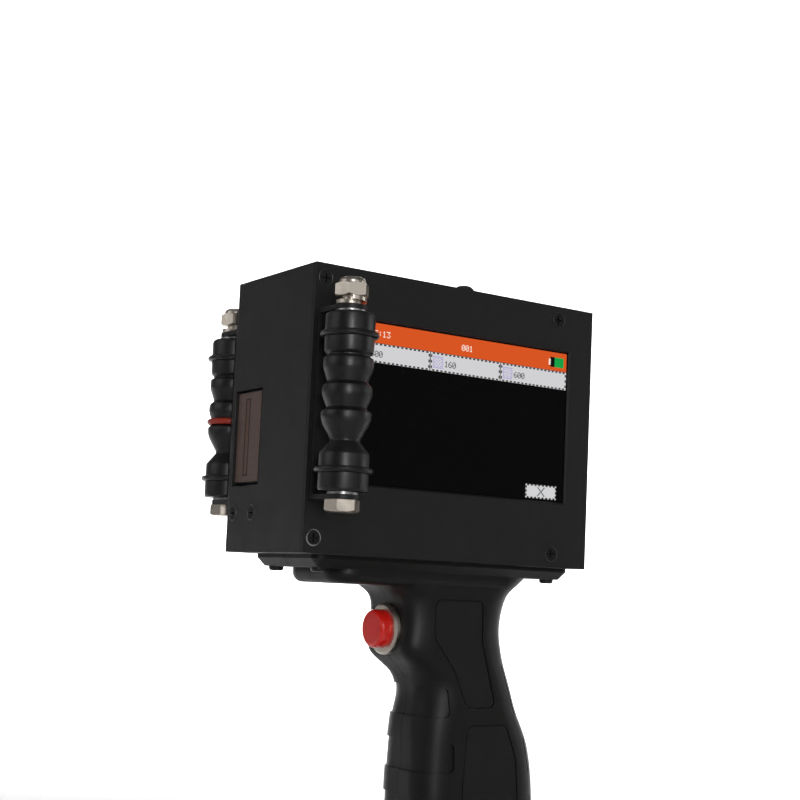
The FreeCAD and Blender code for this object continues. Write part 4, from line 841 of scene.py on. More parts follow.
def dot_field(finish: Finish, corners: int = 4) -> Pattern:
    """Small raised cells, one on each point that enters.

    Args:
        finish: Finish of the cells.
        corners: Corners of one cell.

    Returns:
        Pattern with inputs Radius, Depth and Turn, in millimetres and radians.
    """
    pattern = Pattern(f"dot_field_{corners}_{finish.name}", {
        "Radius": ("NodeSocketFloat", 0.2), "Depth": ("NodeSocketFloat", 0.03),
        "Turn": ("NodeSocketFloat", 0.0)})
    tree = pattern.tree
    cell = add_node(tree, "GeometryNodeMeshCone", {"Vertices": corners}, {
        "Radius Bottom": pattern.socket("Radius"), "Depth": pattern.socket("Depth")})
    top = add_node(tree, "ShaderNodeMath", {"operation": "MULTIPLY", 1: DOT_TAPER},
                   {0: pattern.socket("Radius")})
    tree.links.new(top.outputs[0], cell.inputs["Radius Top"])
    turn = add_node(tree, "ShaderNodeCombineXYZ", links={2: pattern.socket("Turn")})
    placed = add_node(tree, "GeometryNodeInstanceOnPoints", links={
        "Points": pattern.socket("Geometry"), "Instance": cell.outputs[0],
        "Rotation": turn.outputs[0]})
    pattern.close(placed.outputs[0], finish)
    return pattern


# ---------------------------------------------------------------- sub-assemblies

@dataclass
class CadSurfaces:
    """Finish of every CAD node that needs nothing but its finish."""

    table: Mapping[Finish, Sequence[str]] = field(default_factory=lambda: {
        CASE_PAINT: ("main_housing", "cartridge_door"),
        # The front plate takes the case coat drawn darker: painted shade.
        COVER_PAINT_SHADED: ("front_cover",),
        BRACKET_PAINT: ("front_bracket", "back_bracket"),
        BLACK_SCREW: ("holder_screws", "front_bracket_screws", "back_bracket_screws",
                      "grip_screws", "flange_screws", "base_cap_screws", "power_switch_body"),
        NICKEL: ("front_lock_nut", "back_lock_nut", "front_lock_washer", "back_lock_washer",
                 "front_roller_bolt", "back_roller_bolt", "trigger_switch_body", "trigger_nut"),
        ZINC: ("front_roller_washers", "back_roller_washers", "board_standoffs",
               "board_screws", "lever_pin", "door_pin"),
        TINNED: ("usb_socket",),
        BRONZE: ("front_roller_bushings", "back_roller_bushings"),
        ROLLER: ("front_roller", "back_roller"),
        RING: ("front_roller_rings", "back_roller_rings"),
        RED_RING: ("back_red_ring",),
        SHELL: ("grip_front_shell", "grip_back_shell"),
        BASE: ("base_cap",),
        PAD: ("upper_side_pads", "lower_side_pads"),
        PANEL_GLASS: ("touch_panel",),
        FOAM: ("screen_gasket",),
        DARK_CELLS: ("lcd_module",),
        BOARD: ("control_board", "contact_board"),
        CHIP: ("board_components",),
        NYLON: ("cartridge_holder", "dc_jack", "battery_caps"),
        CARTRIDGE: ("ink_cartridge", "cartridge_lever"),
        FILM: ("nozzle_plate",),
        RED_CAP: ("trigger_cap",),
        DOME: ("power_button",),
        SLEEVE: ("battery_cells",),
        MAGNET: ("door_catch",),
    })

    def dress(self) -> None:
        """Cover each node with its finish."""
        for finish, nodes in self.table.items():
            for node in nodes:
                dress_node(node, finish)


# Digits as five-column cells, one number per row from the top, the leftmost column highest.
DIGIT_ROWS: Mapping[str, tuple[int, ...]] = {
    "0": (14, 17, 19, 21, 25, 17, 14), "1": (4, 12, 4, 4, 4, 4, 14), "2": (14, 17, 1, 2, 4, 8, 31),
    "3": (31, 2, 4, 2, 1, 17, 14), "4": (2, 6, 10, 18, 31, 2, 2), "5": (31, 16, 30, 1, 1, 17, 14),
    "6": (6, 8, 16, 30, 17, 17, 14), ":": (0, 4, 4, 0, 4, 4, 0)}


@dataclass
class Readout:
    """What the display shows: a status bar, a row of keys and a close key, in head measures."""

    left: float = 13.7
    bottom: float = 24.1
    width: float = 95.0
    height: float = 54.0
    glass_depth: float = 0.9
    glass_gap: float = 0.01
    layer: float = 0.035
    layer_gap: float = 0.005
    ink_corner: float = 0.12
    ink_edge: float = 0.01
    bar_height: float = 6.7
    key_height: float = 6.6
    key_width: float = 30.65
    key_gap: float = 0.35
    key_row_gap: float = 0.15
    close_corner: Pair = (91.6, 24.4)
    close_size: Pair = (14.2, 4.9)
    dash_pitch: float = 1.7
    dash_share: float = 0.55
    dash_line: float = 0.5
    dash_sink: float = 0.015
    dash_depth: float = 0.03
    cell: float = 0.3
    cell_radius: float = 0.69
    sign_pitch: float = 5.6
    keypad_pitch: float = 0.62
    keypad_cell: float = 0.27
    cross_pitch: float = 0.36
    cross_cell: float = 0.3

    def lift(self, level: int) -> float:
        """Depth of the back of a layer behind the screen face."""
        return self.glass_depth - self.glass_gap - level * (self.layer + self.layer_gap)

    def ink(self, name: str, mesh: Mesh, finish: Finish, x: float, z: float, depth: float) -> None:
        """Settle one mesh on the display.

        Args:
            name: Name of the piece.
            mesh: Its mesh, in drawing millimetres.
            finish: Ink that it shows.
            x: Head measure of the drawing's origin.
            z: Head measure of the drawing's origin.
            depth: Depth of its back behind the screen face.
        """
        settle(name, mesh, facing_screen(x, z, depth), finish)

    def dots(self, name: str, finish: Finish, radius: float, points: Sequence[Sequence[float]],
             x: float, z: float, level: int) -> None:
        """Draw a mark of square cells.

        Args:
            name: Name of the piece.
            finish: Ink of the cells.
            radius: Half diagonal of a cell.
            points: Middles of the cells.
            x: Head measure of the drawing's origin.
            z: Head measure of the drawing's origin.
            level: Layer that the cells lie on.
        """
        sizes = {"Radius": radius, "Depth": self.layer, "Turn": math.pi / 4}
        self.ink(name, dot_field(finish).mesh(sizes, points), finish, x, z, self.lift(level))

    def plate(self, name: str, finish: Finish, x: float, z: float, size: Pair,
              level: int) -> None:
        """Lay one lit area on the display.

        Args:
            name: Name of the piece.
            finish: Ink that it shows.
            x: Head measure of its left edge.
            z: Head measure of its lower edge.
            size: Width and height.
            level: Layer that it lies on, counted from the glass.
        """
        outline = rounded_outline(size[0], size[1], self.ink_corner)
        mesh = tile(outline, self.layer, self.ink_edge)
        self.ink(name, mesh, finish, x, z, self.lift(level))

    def digits(self, name: str, finish: Finish, text: str, x: float, z: float, level: int) -> None:
        """Write digits in square cells.

        Args:
            name: Name of the piece.
            finish: Ink that they show.
            text: Digits and colons.
            x: Head measure of their left edge.
            z: Head measure of their foot.
            level: Layer that they lie on.
        """
        points = []
        for place, sign in enumerate(text):
            for row, bits in enumerate(DIGIT_ROWS[sign]):
                for column in range(5):
                    if bits >> (4 - column) & 1:
                        across = (place * self.sign_pitch + column) * self.cell
                        points.append((across, (6 - row) * self.cell, self.layer / 2))
        self.dots(name, finish, self.cell * self.cell_radius, points, x, z, level)

    def border(self, name: str, finish: Finish, x: float, z: float, size: Pair,
               level: int) -> None:
        """Draw a dashed border just inside a rectangle.

        Args:
            name: Name of the piece.
            finish: Ink of the dashes.
            x: Head measure of the rectangle's left edge.
            z: Head measure of its lower edge.
            size: Width and height of the rectangle.
            level: Layer that the border lies on.
        """
        width, height = size[0] - self.dash_line, size[1] - self.dash_line
        across, up = round(width / self.dash_pitch), max(2, round(height / self.dash_pitch))
        sides = (-1, 1)
        rows = [((k + 0.5) * width / across - width / 2, side * height / 2, 0)
                for k in range(across) for side in sides]
        columns = [(side * width / 2, (k + 0.5) * height / up - height / 2, 0)
                   for k in range(up) for side in sides]
        dash = self.dash_share * self.dash_pitch
        depth = self.lift(level) - self.dash_sink
        for label, points, run in (("rows", rows, (dash, self.dash_line, self.dash_depth)),
                                   ("columns", columns, (self.dash_line, dash, self.dash_depth))):
            mesh = dash_field(finish).mesh({"Size": run}, points)
            self.ink(f"{name}_{label}", mesh, finish, x + size[0] / 2, z + size[1] / 2, depth)

    def keypad_mark(self, name: str, x: float, z: float, level: int) -> None:
        """Draw the small violet keypad that marks a key.

        Args:
            name: Name of the piece.
            x: Head measure of its left edge.
            z: Head measure of its lower edge.
            level: Layer that it lies on.
        """
        steps, pitch = range(7), self.keypad_pitch
        points = [(pitch * i, pitch * j, self.layer / 2) for i in steps for j in steps
                  if i in (0, 6) or j in (0, 6) or (i + j) % 2 == 0]
        self.dots(name, VIOLET_INK, self.keypad_cell, points, x, z, level)

    def build_bar(self) -> None:
        """Lay the orange status bar with its clock, count and charge."""
        top = self.bottom + self.height
        z = top - self.bar_height
        self.plate("status_bar", BAR_INK, self.left, z, (self.width, self.bar_height), 1)
        self.digits("status_clock", WHITE_INK, "05:13", 22.6, z + 2.3, 2)
        self.digits("status_count", WHITE_INK, "001", 60.9, z + 2.1, 2)
        self.plate("charge_nub", WHITE_INK, 100.3, z + 1.9, (0.9, 2.3), 2)
        self.plate("charge_case", BLACK_INK, 101.0, z + 1.3, (6.3, 3.6), 2)
        self.plate("charge_level", GREEN_INK, 103.0, z + 1.3, (4.3, 3.6), 3)

    def build_keys(self) -> None:
        """Lay the three keys of the row, from the right."""
        z = self.bottom + self.height - self.bar_height - self.key_height
        right = self.left + self.width
        for index, text in enumerate(("600", "160", "300")):
            x = right - (index + 1) * self.key_width
            size = (self.key_width - self.key_gap, self.key_height - self.key_row_gap)
            self.plate(f"key_{index}", KEY_INK, x + self.key_gap, z, size, 1)
            inner = (size[0] - 0.2, size[1] - 0.1)
            self.border(f"key_{index}_border", BLACK_INK, x + 0.45, z + 0.05, inner, 2)
            self.keypad_mark(f"key_{index}_mark", x + 1.6, z + 1.3, 2)
            self.digits(f"key_{index}_digits", BLACK_INK, text, x + 6.4, z + 2.0, 2)
        rest = right - 3 * self.key_width - self.left
        edge = (rest, self.key_height - self.key_row_gap)
        self.plate("key_edge", KEY_INK, self.left, z, edge, 1)

    def build_close_key(self) -> None:
        """Lay the close key with a plain cross on it."""
        (x, z), size = self.close_corner, self.close_size
        self.plate("close_key", KEY_INK, x, z, size, 1)
        self.border("close_key_border", BLACK_INK, x, z, size, 2)
        pitch = self.cross_pitch
        cells = [(k * pitch, slope * k * pitch, self.layer / 2)
                 for k in range(-4, 5) for slope in (-1, 1)]
        middle = (x + size[0] / 2, z + size[1] / 2)
        self.dots("close_key_cross", BLACK_INK, self.cross_cell, cells, *middle, 2)

    def build(self) -> None:
        """Lay everything that the display shows."""
        whole = (self.width, self.height)
        self.plate("display_cells", DARK_CELLS, self.left, self.bottom, whole, 0)
        self.build_bar()
        self.build_keys()
        self.build_close_key()


@dataclass
class NozzleChip:
    """Two rows of nozzles in the slots of the nozzle plate, seen through the print window."""

    depth: float = 1.0
    far_edge: float = 50.2
    from_far: float = 7.0
    slot_pitch: float = 2.6
    slot_length: float = 27.0
    slot_width: float = 0.5
    middle: float = 39.9
    end_width: float = 0.4
    end_inset: float = 0.25
    line_width: float = 0.35
    line_gap: float = 2.4
    hole_pitch: float = 0.5
    hole_radius: float = 0.1
    hole_depth: float = 0.03
    strip_depth: float = 0.05
    strip_corner: float = 0.08
    strip_edge: float = 0.01

    def place(self) -> Matrix:
        """Place a drawing that looks at the print face.

        Returns:
            Matrix from drawing millimetres to metres.
        """
        turn = Matrix(((0, 0, -1, 0), (-1, 0, 0, 0), (0, 1, 0, 0), (0, 0, 0, 1)))
        center = head(self.depth, self.far_edge - self.from_far, self.middle)
        return Matrix.Translation(center) @ turn @ Matrix.Scale(MM, 4)

    def strip(self, name: str, middle: Pair, size: Pair, finish: Finish) -> None:
        """Lay one narrow strip on the film.

        Args:
            name: Name of the piece.
            middle: Its middle, across and up from the chip's middle.
            size: Width and length.
            finish: Finish of the strip.
        """
        corner = Vector((middle[0] - size[0] / 2, middle[1] - size[1] / 2, 0))
        outline = [p + corner for p in rounded_outline(size[0], size[1], self.strip_corner)]
        mesh = tile(outline, self.strip_depth, self.strip_edge)
        settle(f"nozzle_{name}", mesh, self.place(), finish)

    def build(self) -> None:
        """Lay black strips round the chip as painted shadow of its slots, then its middle line, and a row
        of nozzles on each long side.
        """
        half, side = self.slot_length / 2, self.slot_pitch / 2
        slot = (self.slot_width, self.slot_length)
        end = (self.slot_pitch - self.slot_width, self.end_width)
        # Painted shadow: black strips over the slots round the chip.
        self.strip("slot_shadow_near", (side, 0), slot, NOZZLE_SLOT_SHADOW)
        self.strip("slot_shadow_far", (-side, 0), slot, NOZZLE_SLOT_SHADOW)
        self.strip("slot_shadow_top", (0, half - self.end_inset), end, NOZZLE_SLOT_SHADOW)
        self.strip("slot_shadow_foot", (0, self.end_inset - half), end, NOZZLE_SLOT_SHADOW)
        line = (self.line_width, self.slot_length - self.line_gap)
        self.strip("middle_line", (0, 0), line, NOZZLE_EDGE)
        count = int(self.slot_length / self.hole_pitch)
        rows = [(x, -half + (k + 0.5) * self.hole_pitch, self.strip_depth + self.strip_edge)
                for x in (-side, side) for k in range(count)]
        sizes = {"Radius": self.hole_radius, "Depth": self.hole_depth, "Turn": 0.0}
        mesh = dot_field(NOZZLE_EDGE, 8).mesh(sizes, rows)
        settle("nozzle_rows", mesh, self.place(), NOZZLE_EDGE)


@dataclass
class Ports:
    """Insides of the two sockets in the right wall."""

    usb_near: float = 11.4
    usb_foot: float = 62.0
    usb_width: float = 13.1
    tongue_thickness: float = 1.8
    tongue_width: float = 11.1
    tongue_start: float = 107.5
    tongue_end: float = 118.6
    tongue_inset: float = 1.0
    tongue_corner: float = 0.25
    tongue_edge: float = 0.3
    contacts: int = 4
    contact_back: float = 5.0
    contact_rise: float = 0.11
    contact_pitch: float = 2.5
    contact_length: float = 8.0
    contact_thickness: float = 0.2
    contact_width: float = 1.1
    jack_radius: float = 1.0
    jack_start: float = 4.0
    jack_end: float = 118.4

    def looking_in(self, x: float, y: float, z: float) -> Matrix:
        """Place a drawing that looks out of the right wall: right is +Y, up is +Z.

        Args:
            x: Head measure of the drawing's origin.
            y: Head measure of the drawing's origin.
            z: Head measure of the drawing's origin.

        Returns:
            Matrix from drawing millimetres to metres.
        """
        turn = Matrix(((0, 0, 1, 0), (1, 0, 0, 0), (0, 1, 0, 0), (0, 0, 0, 1)))
        return Matrix.Translation(head(x, y, z)) @ turn @ Matrix.Scale(MM, 4)

    def contact_row(self) -> Mesh:
        """Lay flat contacts side by side.

        Returns:
            Mesh of the row, from the middle of its lowest contact upwards.
        """
        row = Pattern("contact_row", {
            "Count": ("NodeSocketInt", self.contacts),
            "Pitch": ("NodeSocketFloat", self.contact_pitch),
            "Length": ("NodeSocketFloat", self.contact_length)})
        tree = row.tree
        step = add_node(tree, "ShaderNodeCombineXYZ", links={1: row.socket("Pitch")})
        line = add_node(tree, "GeometryNodeMeshLine", links={
            "Count": row.socket("Count"), "Offset": step.outputs[0]})
        size = add_node(tree, "ShaderNodeCombineXYZ", {
            0: self.contact_thickness, 1: self.contact_width}, {2: row.socket("Length")})
        bar = add_node(tree, "GeometryNodeMeshCube", links={"Size": size.outputs[0]})
        placed = add_node(tree, "GeometryNodeInstanceOnPoints", links={
            "Points": line.outputs[0], "Instance": bar.outputs[0]})
        row.close(placed.outputs[0], GOLD)
        return row.mesh({"Count": self.contacts, "Pitch": self.contact_pitch,
                         "Length": self.contact_length})

    def build_usb(self) -> None:
        """Make the socket's tongue and its contacts."""
        foot = self.usb_foot + (self.usb_width - self.tongue_width) / 2
        y = self.usb_near + self.tongue_inset
        outline = rounded_outline(self.tongue_thickness, self.tongue_width, self.tongue_corner)
        tongue = tile(outline, self.tongue_end - self.tongue_start, self.tongue_edge)
        place = self.looking_in(self.tongue_start, y, foot)
        settle("usb_tongue", tongue, place, NYLON)
        lowest = self.usb_foot + self.usb_width / 2 - (self.contacts - 1) * self.contact_pitch / 2
        rise = y + self.tongue_thickness + self.contact_rise
        place = self.looking_in(self.tongue_end - self.contact_back, rise, lowest)
        settle("usb_contacts", self.contact_row(), place, GOLD)

    def build_jack(self) -> None:
        """Make the power socket's centre pin."""
        low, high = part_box("dc_jack")
        center = (low + high) / 2
        start = (low.x - HEAD_CORNER.x) / MM + self.jack_start
        length = self.jack_end - start
        r = self.jack_radius
        profile = [(0, 0), (r, 0), (r, length - 1.0), (0.85 * r, length - 0.4),
                   (0.45 * r, length - 0.08), (0, length)]
        y = (center.y - HEAD_CORNER.y) / MM
        z = (center.z - HEAD_CORNER.z) / MM
        place = self.looking_in(start, y, z)
        settle("jack_pin", lathe(lambda angle: profile), place, TINNED)

    def build(self) -> None:
        """Make the insides of both sockets."""
        self.build_usb()
        self.build_jack()


class Side(Enum):
    """Face of the head that a roller stands on."""

    FRONT = "front"
    BACK = "back"


@dataclass
class GuideRoller:
    """Waisted rubber roller turned in straight cuts, with its o-rings in their grooves."""

    side: Side
    radius: float = 8.1
    bore: float = 3.5
    seat_radius: float = 4.6
    seat_depth: float = 6.0
    ring_radius: float = 8.55
    ring_wire: float = 0.98
    ring_low: float = 0.117
    ring_high: float = 0.878
    cuts: Sequence[Pair] = (
        (0.0, 0.955), (0.007, 0.99), (0.014, 1.0), (0.203, 0.995), (0.212, 0.98), (0.276, 0.615),
        (0.283, 0.6), (0.291, 0.61), (0.368, 0.915), (0.398, 0.99), (0.43, 1.01), (0.442, 0.985),
        (0.459, 0.83), (0.466, 0.805), (0.474, 0.82), (0.522, 0.965), (0.545, 1.0), (0.568, 1.0),
        (0.588, 0.965), (0.604, 0.85), (0.611, 0.815), (0.619, 0.83), (0.676, 0.97), (0.692, 1.0),
        (0.738, 1.0), (0.745, 0.975), (0.75, 0.88), (0.757, 0.86), (0.763, 0.865), (0.778, 0.965),
        (0.79, 0.985), (0.978, 1.0), (0.99, 0.975), (1.0, 0.9))

    def foot(self) -> tuple[Vector, float]:
        """Find the roller's axis.

        Returns:
            Its lower end in metres, and its length in millimetres.
        """
        low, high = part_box(f"{self.side.value}_roller")
        return Vector(((low.x + high.x) / 2, (low.y + high.y) / 2, low.z)), (high.z - low.z) / MM

    def notch(self, length: float, share: float) -> list[Pair]:
        """Rounded groove that an o-ring lies in.

        Args:
            length: Length of the roller.
            share: Height of the groove as a share of the length.

        Returns:
            Radius and height pairs, from below.
        """
        height, wire = share * length, self.ring_wire
        floor = self.ring_radius - wire
        return [(self.radius, height - wire), (floor + 0.25, height - 0.7 * wire), (floor, height),
                (floor + 0.25, height + 0.7 * wire), (self.radius, height + wire)]

    def outline(self, length: float) -> list[Pair]:
        """Closed section of the roller: outer cuts, then the bore with its two bushing seats.

        Args:
            length: Length of the roller.

        Returns:
            Radius and height pairs.
        """
        points = [(share * self.radius, height * length) for height, share in self.cuts]
        for share in (self.ring_low, self.ring_high):
            points += self.notch(length, share)
        points.sort(key=lambda point: point[1])
        inner = [(self.seat_radius, length), (self.seat_radius, length - self.seat_depth),
                 (self.bore, length - self.seat_depth), (self.bore, self.seat_depth),
                 (self.seat_radius, self.seat_depth), (self.seat_radius, 0)]
        return points + inner

    def build(self) -> None:
        """Turn the roller and lay its rings in place of the CAD ones."""
        start, length = self.foot()
        place = Matrix.Translation(start) @ Matrix.Scale(MM, 4)
        name, carrier = self.side.value, f"{self.side.value}_roller_body"
        points = self.outline(length)
        turned = lathe(lambda angle: points, 96)
        body = settle(f"{name}_roller_turned", turned, place, ROLLER, carrier)
        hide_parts(f"{name}_roller")
        for height, label in ((self.ring_low, "low"), (self.ring_high, "high")):
            mesh = lathe(bead(self.ring_radius, self.ring_wire, height * length), 72)
            ring = settle(f"{name}_ring_{label}", mesh, place, RING, carrier)
            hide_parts(f"{name}_roller_rings")


def hexagon(angle: float, flats: float, corner_angle: float) -> float:
    """Radius of a hexagon at an angle.

    Args:
        angle: Angle in radians.
        flats: Width across the flats.
        corner_angle: Angle of one corner, in degrees.

    Returns:
        Radius at the angle.
    """
    turn = (angle - math.radians(corner_angle)) % (math.pi / 3) - math.pi / 6
    return flats / 2 / math.cos(turn)


@dataclass
class RollerBolt:
    """Hexagon bolt that a roller turns on, its head chamfered below."""

    side: Side
    flats: float = 10.0
    chamfer_radius: float = 4.85
    head_height: float = 4.0
    shank: float = 3.0
    broken_edge: float = 0.12
    tip: float = 0.5
    corner_angle: float = -138.3

    def build(self) -> None:
        """Make the bolt in place of the CAD one."""
        low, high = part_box(f"{self.side.value}_roller_bolt")
        length = (high.z - low.z) / MM
        foot = ((low.x + high.x) / 2, (low.y + high.y) / 2, low.z)
        place = Matrix.Translation(foot) @ Matrix.Scale(MM, 4)

        def section(angle: float) -> list[Pair]:
            """Half of the bolt's outline at an angle.

            Args:
                angle: Angle in radians.

            Returns:
                Radius and height pairs.
            """
            radius = hexagon(angle, self.flats, self.corner_angle)
            drop = (radius - self.chamfer_radius) * CHAMFER_SLOPE
            return [(0, 0), (self.chamfer_radius - 0.1, 0), (self.chamfer_radius, 0.06),
                    (radius, drop + 0.06), (radius, self.head_height - self.broken_edge),
                    (radius - self.broken_edge, self.head_height),
                    (self.shank, self.head_height), (self.shank, length - self.tip),
                    (self.shank - 0.9 * self.tip, length), (0, length)]

        mesh = lathe(section, 72, self.corner_angle)
        bolt = settle(f"{self.side.value}_hexagon_bolt", mesh, place, NICKEL)
        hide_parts(f"{self.side.value}_roller_bolt")


@dataclass
class LockNut:
    """Hexagon nut with a rolled collar over its nylon insert, on a split spring washer."""

    side: Side
    flats: float = 10.0
    chamfer_radius: float = 4.92
    hole: float = 3.0
    hex_height: float = 4.3
    collar_radius: float = 4.35
    washer: float = 1.2
    washer_rise: float = 1.5
    washer_inner: float = 3.15
    washer_outer: float = 4.95
    corner_angle: float = -131.5
    slit_angle: float = -119.0
    washer_span: float = 349.0

    def nut_section(self, height: float) -> Section:
        """Section of the nut, whose hexagon is chamfered below and above.

        Args:
            height: Whole height of the nut.

        Returns:
            Section for a lathe.
        """
        top, collar = self.hex_height, self.collar_radius

        def section(angle: float) -> list[Pair]:
            """Outline of one side of the nut at an angle.

            Args:
                angle: Angle in radians.

            Returns:
                Radius and height pairs.
            """
            radius = hexagon(angle, self.flats, self.corner_angle)
            drop = (radius - self.chamfer_radius) * CHAMFER_SLOPE
            return [(self.hole, 0), (self.chamfer_radius, 0), (radius, drop),
                    (radius, top - drop), (self.chamfer_radius, top), (collar, top),
                    (collar + 0.05, top + 0.7), (collar - 0.12, height - 0.7),
                    (collar - 0.45, height - 0.2), (collar - 0.85, height),
                    (self.hole + 0.3, height - 0.05), (self.hole, height - 0.5)]

        return section

    def build(self) -> None:
        """Make nut and washer in place of the CAD ones."""
        low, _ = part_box(f"{self.side.value}_lock_washer")
        nut_low, nut_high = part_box(f"{self.side.value}_lock_nut")
        x, y = (nut_low.x + nut_high.x) / 2, (nut_low.y + nut_high.y) / 2
        turn = Matrix.Translation((x, y, low.z)) @ Matrix.Scale(MM, 4)
        height = self.washer + self.washer_rise

        def slope(angle: float) -> list[Pair]:
            """Section of the washer, lower the further it has wound.

            Args:
                angle: Angle in radians.

            Returns:
                Radius and height pairs.
            """
            share = (math.degrees(angle) - self.slit_angle) / 360
            foot = self.washer_rise * (1 - share)
            top = foot + self.washer
            return [(self.washer_inner, foot), (self.washer_outer, foot),
                    (self.washer_outer, top), (self.washer_inner, top)]

        mesh = lathe(slope, 60, self.slit_angle, self.washer_span)
        washer = settle(f"{self.side.value}_split_washer", mesh, turn, NICKEL)
        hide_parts(f"{self.side.value}_lock_washer")
        lift = turn @ Matrix.Translation((0, 0, height))
        body = lathe(self.nut_section((nut_high.z - low.z) / MM - height), 72, self.corner_angle)
        nut = settle(f"{self.side.value}_insert_nut", body, lift, NICKEL)
        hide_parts(f"{self.side.value}_lock_nut")


@dataclass
class ScrewSeats:
    """Pressed lips round the countersunk screws of the front plate and of the print face."""

    head_radius: float = 2.6
    lip_radius: float = 2.62
    lip_wire: float = 0.15
    lip_rise: float = 0.02

    def lip(self, name: str, place: Matrix) -> None:
        """Lay one lip flush in its wall.

        Args:
            name: Name of the piece.
            place: Matrix whose drawing looks out of the wall.
        """
        mesh = lathe(bead(self.lip_radius, self.lip_wire, self.lip_rise, 8), 40)
        # The lip is real; its lighter colour is a painted highlight round the screw head.
        settle(name, mesh, place, SCREW_LIP_HIGHLIGHT)

    def build(self) -> None:
        """Lay a lip round each screw."""
        low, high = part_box("front_cover_screws")
        half = self.head_radius * MM
        for i, x in enumerate((low.x + half, high.x - half)):
            for j, z in enumerate((low.z + half, high.z - half)):
                spot = facing_screen((x - HEAD_CORNER.x) / MM, (z - HEAD_CORNER.z) / MM, 0)
                self.lip(f"front_screw_lip_{i}{j}", spot)
        low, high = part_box("holder_screws")
        turn = Matrix(((0, 0, -1, 0), (-1, 0, 0, 0), (0, 1, 0, 0), (0, 0, 0, 1)))
        middle = (low.z + high.z) / 2
        half = (high.z - low.z) / 2
        for i, y in enumerate((low.y + half, high.y - half)):
            spot = Matrix.Translation((HEAD_CORNER.x, y, middle)) @ turn @ Matrix.Scale(MM, 4)
            self.lip(f"print_face_screw_lip_{i}", spot)


# ---------------------------------------------------------------- studio

# Uncoated backdrop paper off the roll: matte and almost white.
PAPER = Finish("backdrop_paper_matte", "#FCFCFC", 0.9, grain_mm=4, grain_depth_mm=0.02,
               mottle_mm=400, mottle=0.005)


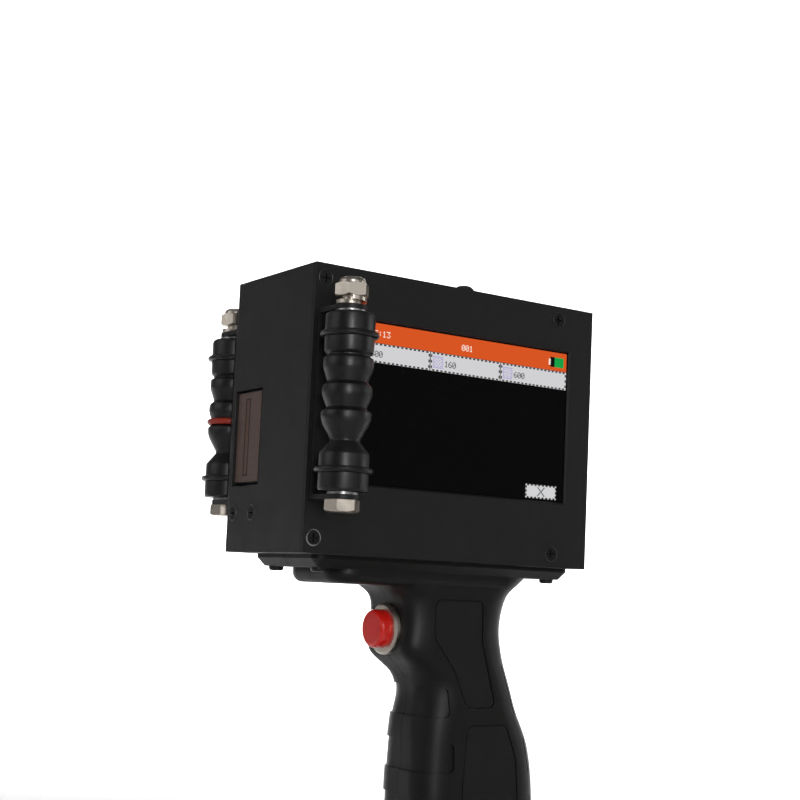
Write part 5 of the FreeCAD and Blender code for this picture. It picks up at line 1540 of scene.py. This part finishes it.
@dataclass
class Studio:
    """Pale seamless sweep, soft lamps and an even white surround, in metres."""

    reach: float = 3.2
    wall_back: float = 1.5
    wall_height: float = 2.4
    bend: float = 0.6
    azimuth: float = 33.74
    surround: float = 0.1

    def build_sweep(self) -> None:
        """Make the floor that curves up into the backdrop, square to the camera."""
        steps = 16
        profile = [(-self.reach, 0.0)]
        for step in range(steps + 1):
            angle = math.pi / 2 * step / steps
            back = self.wall_back + self.bend * math.sin(angle)
            profile.append((back, self.bend * (1 - math.cos(angle))))
        profile.append((self.wall_back + self.bend, self.wall_height))
        shape = bmesh.new()
        rows = [[shape.verts.new((x, d, z)) for x in (-self.reach, self.reach)]
                for d, z in profile]
        for low, high in zip(rows, rows[1:]):
            shape.faces.new((low[0], low[1], high[1], high[0]))
        mesh = bpy.data.meshes.new("studio_sweep")
        shape.to_mesh(mesh)
        shape.free()
        mesh.transform(Matrix.Rotation(-math.radians(self.azimuth), 4, "Z"))
        mesh.shade_smooth()
        mesh.materials.append(PAPER.material())
        sweep = bpy.data.objects.new("studio_sweep", mesh)
        bpy.context.scene.collection.objects.link(sweep)

    def lamp(self, name: str, at: Vector, aim: Vector, size: Pair, watts: float,
             spread: float = 180) -> None:
        """Hang one soft rectangular lamp.

        Args:
            name: Name of the lamp.
            at: Where it hangs.
            aim: What it points at.
            size: Width and height in metres.
            watts: Power.
            spread: Opening angle of its grid in degrees.
        """
        data = bpy.data.lights.new(name, "AREA")
        data.shape = "RECTANGLE"
        data.size, data.size_y = size
        data.energy = watts
        data.spread = math.radians(spread)
        lamp = bpy.data.objects.new(name, data)
        lamp.location = at
        lamp.rotation_euler = (aim - at).to_track_quat("-Z", "Y").to_euler()
        bpy.context.scene.collection.objects.link(lamp)

    def build(self) -> None:
        """Set up sweep, surround and lamps."""
        self.build_sweep()
        world = bpy.data.worlds.new("white_surround")
        world.use_nodes = True
        tree = world.node_tree
        tree.nodes.clear()
        seen = add_node(tree, "ShaderNodeLightPath").outputs["Is Camera Ray"]
        strength = add_node(tree, "ShaderNodeMapRange", {
            "To Min": self.surround, "To Max": 1.0}, {"Value": seen})
        light = add_node(tree, "ShaderNodeBackground", {"Color": (1, 1, 1, 1)},
                         {"Strength": strength.outputs[0]})
        add_node(tree, "ShaderNodeOutputWorld", links={"Surface": light.outputs[0]})
        bpy.context.scene.world = world
        bpy.context.scene.view_settings.view_transform = "Standard"
        head_middle, wall = Vector((-0.03, 0, 0.15)), Vector((0.85, 1.4, 0.2))
        self.lamp("key_left", Vector((-1.0, 0.3, 0.5)), head_middle, (0.7, 0.6), 1.25)
        self.lamp("strip_front", Vector((-0.5, -0.95, 0.32)), head_middle, (0.1, 0.8), 1.0, 80)
        self.lamp("soft_front", Vector((0.12, -1.0, 0.35)), head_middle, (0.5, 0.5), 0.6)
        self.lamp("fill_right", Vector((1.1, -0.4, 0.4)), head_middle, (0.6, 0.6), 0.3, 80)
        self.lamp("backdrop_wash", Vector((0.3, 0.5, 1.9)), wall, (1.8, 0.6), 50, 100)


@dataclass
class Camera:
    """Camera low beside the head, looking slightly up at the corner between its two faces."""

    at: tuple[float, float, float] = (-0.32995, -0.43379, 0.1112)
    azimuth: float = 33.737
    elevation: float = 5.425
    roll: float = 2.605
    focal: float = 66.35
    sensor: float = 36.0
    nearest: float = 0.01
    shift_x: float = 0.0213
    shift_y: float = 0.0625

    def build(self) -> None:
        """Make the camera and let the scene use it."""
        a, e = math.radians(self.azimuth), math.radians(self.elevation)
        view = Vector((math.sin(a) * math.cos(e), math.cos(a) * math.cos(e), math.sin(e)))
        right = Vector((math.cos(a), -math.sin(a), 0))
        up = right.cross(view)
        turn = Matrix.Rotation(-math.radians(self.roll), 3, view)
        right, up = turn @ right, turn @ up
        data = bpy.data.cameras.new("camera")
        data.lens = self.focal
        data.sensor_width = self.sensor
        data.shift_x, data.shift_y = self.shift_x, self.shift_y
        data.clip_start = self.nearest
        camera = bpy.data.objects.new("camera", data)
        rows = Matrix((right, up, -view)).transposed()
        camera.matrix_world = Matrix.Translation(self.at) @ rows.to_4x4()
        bpy.context.scene.collection.objects.link(camera)
        bpy.context.scene.camera = camera


def main() -> None:
    logging.basicConfig(level=logging.INFO, format="%(name)s %(message)s")
    Camera().build()
    Studio().build()
    CadSurfaces().dress()
    CoverScrews().dress()
    for side in Side:
        GuideRoller(side).build()
        RollerBolt(side).build()
        LockNut(side).build()
    ScrewSeats().build()
    Readout().build()
    NozzleChip().build()
    Ports().build()


if __name__ == "__main__":
    main()
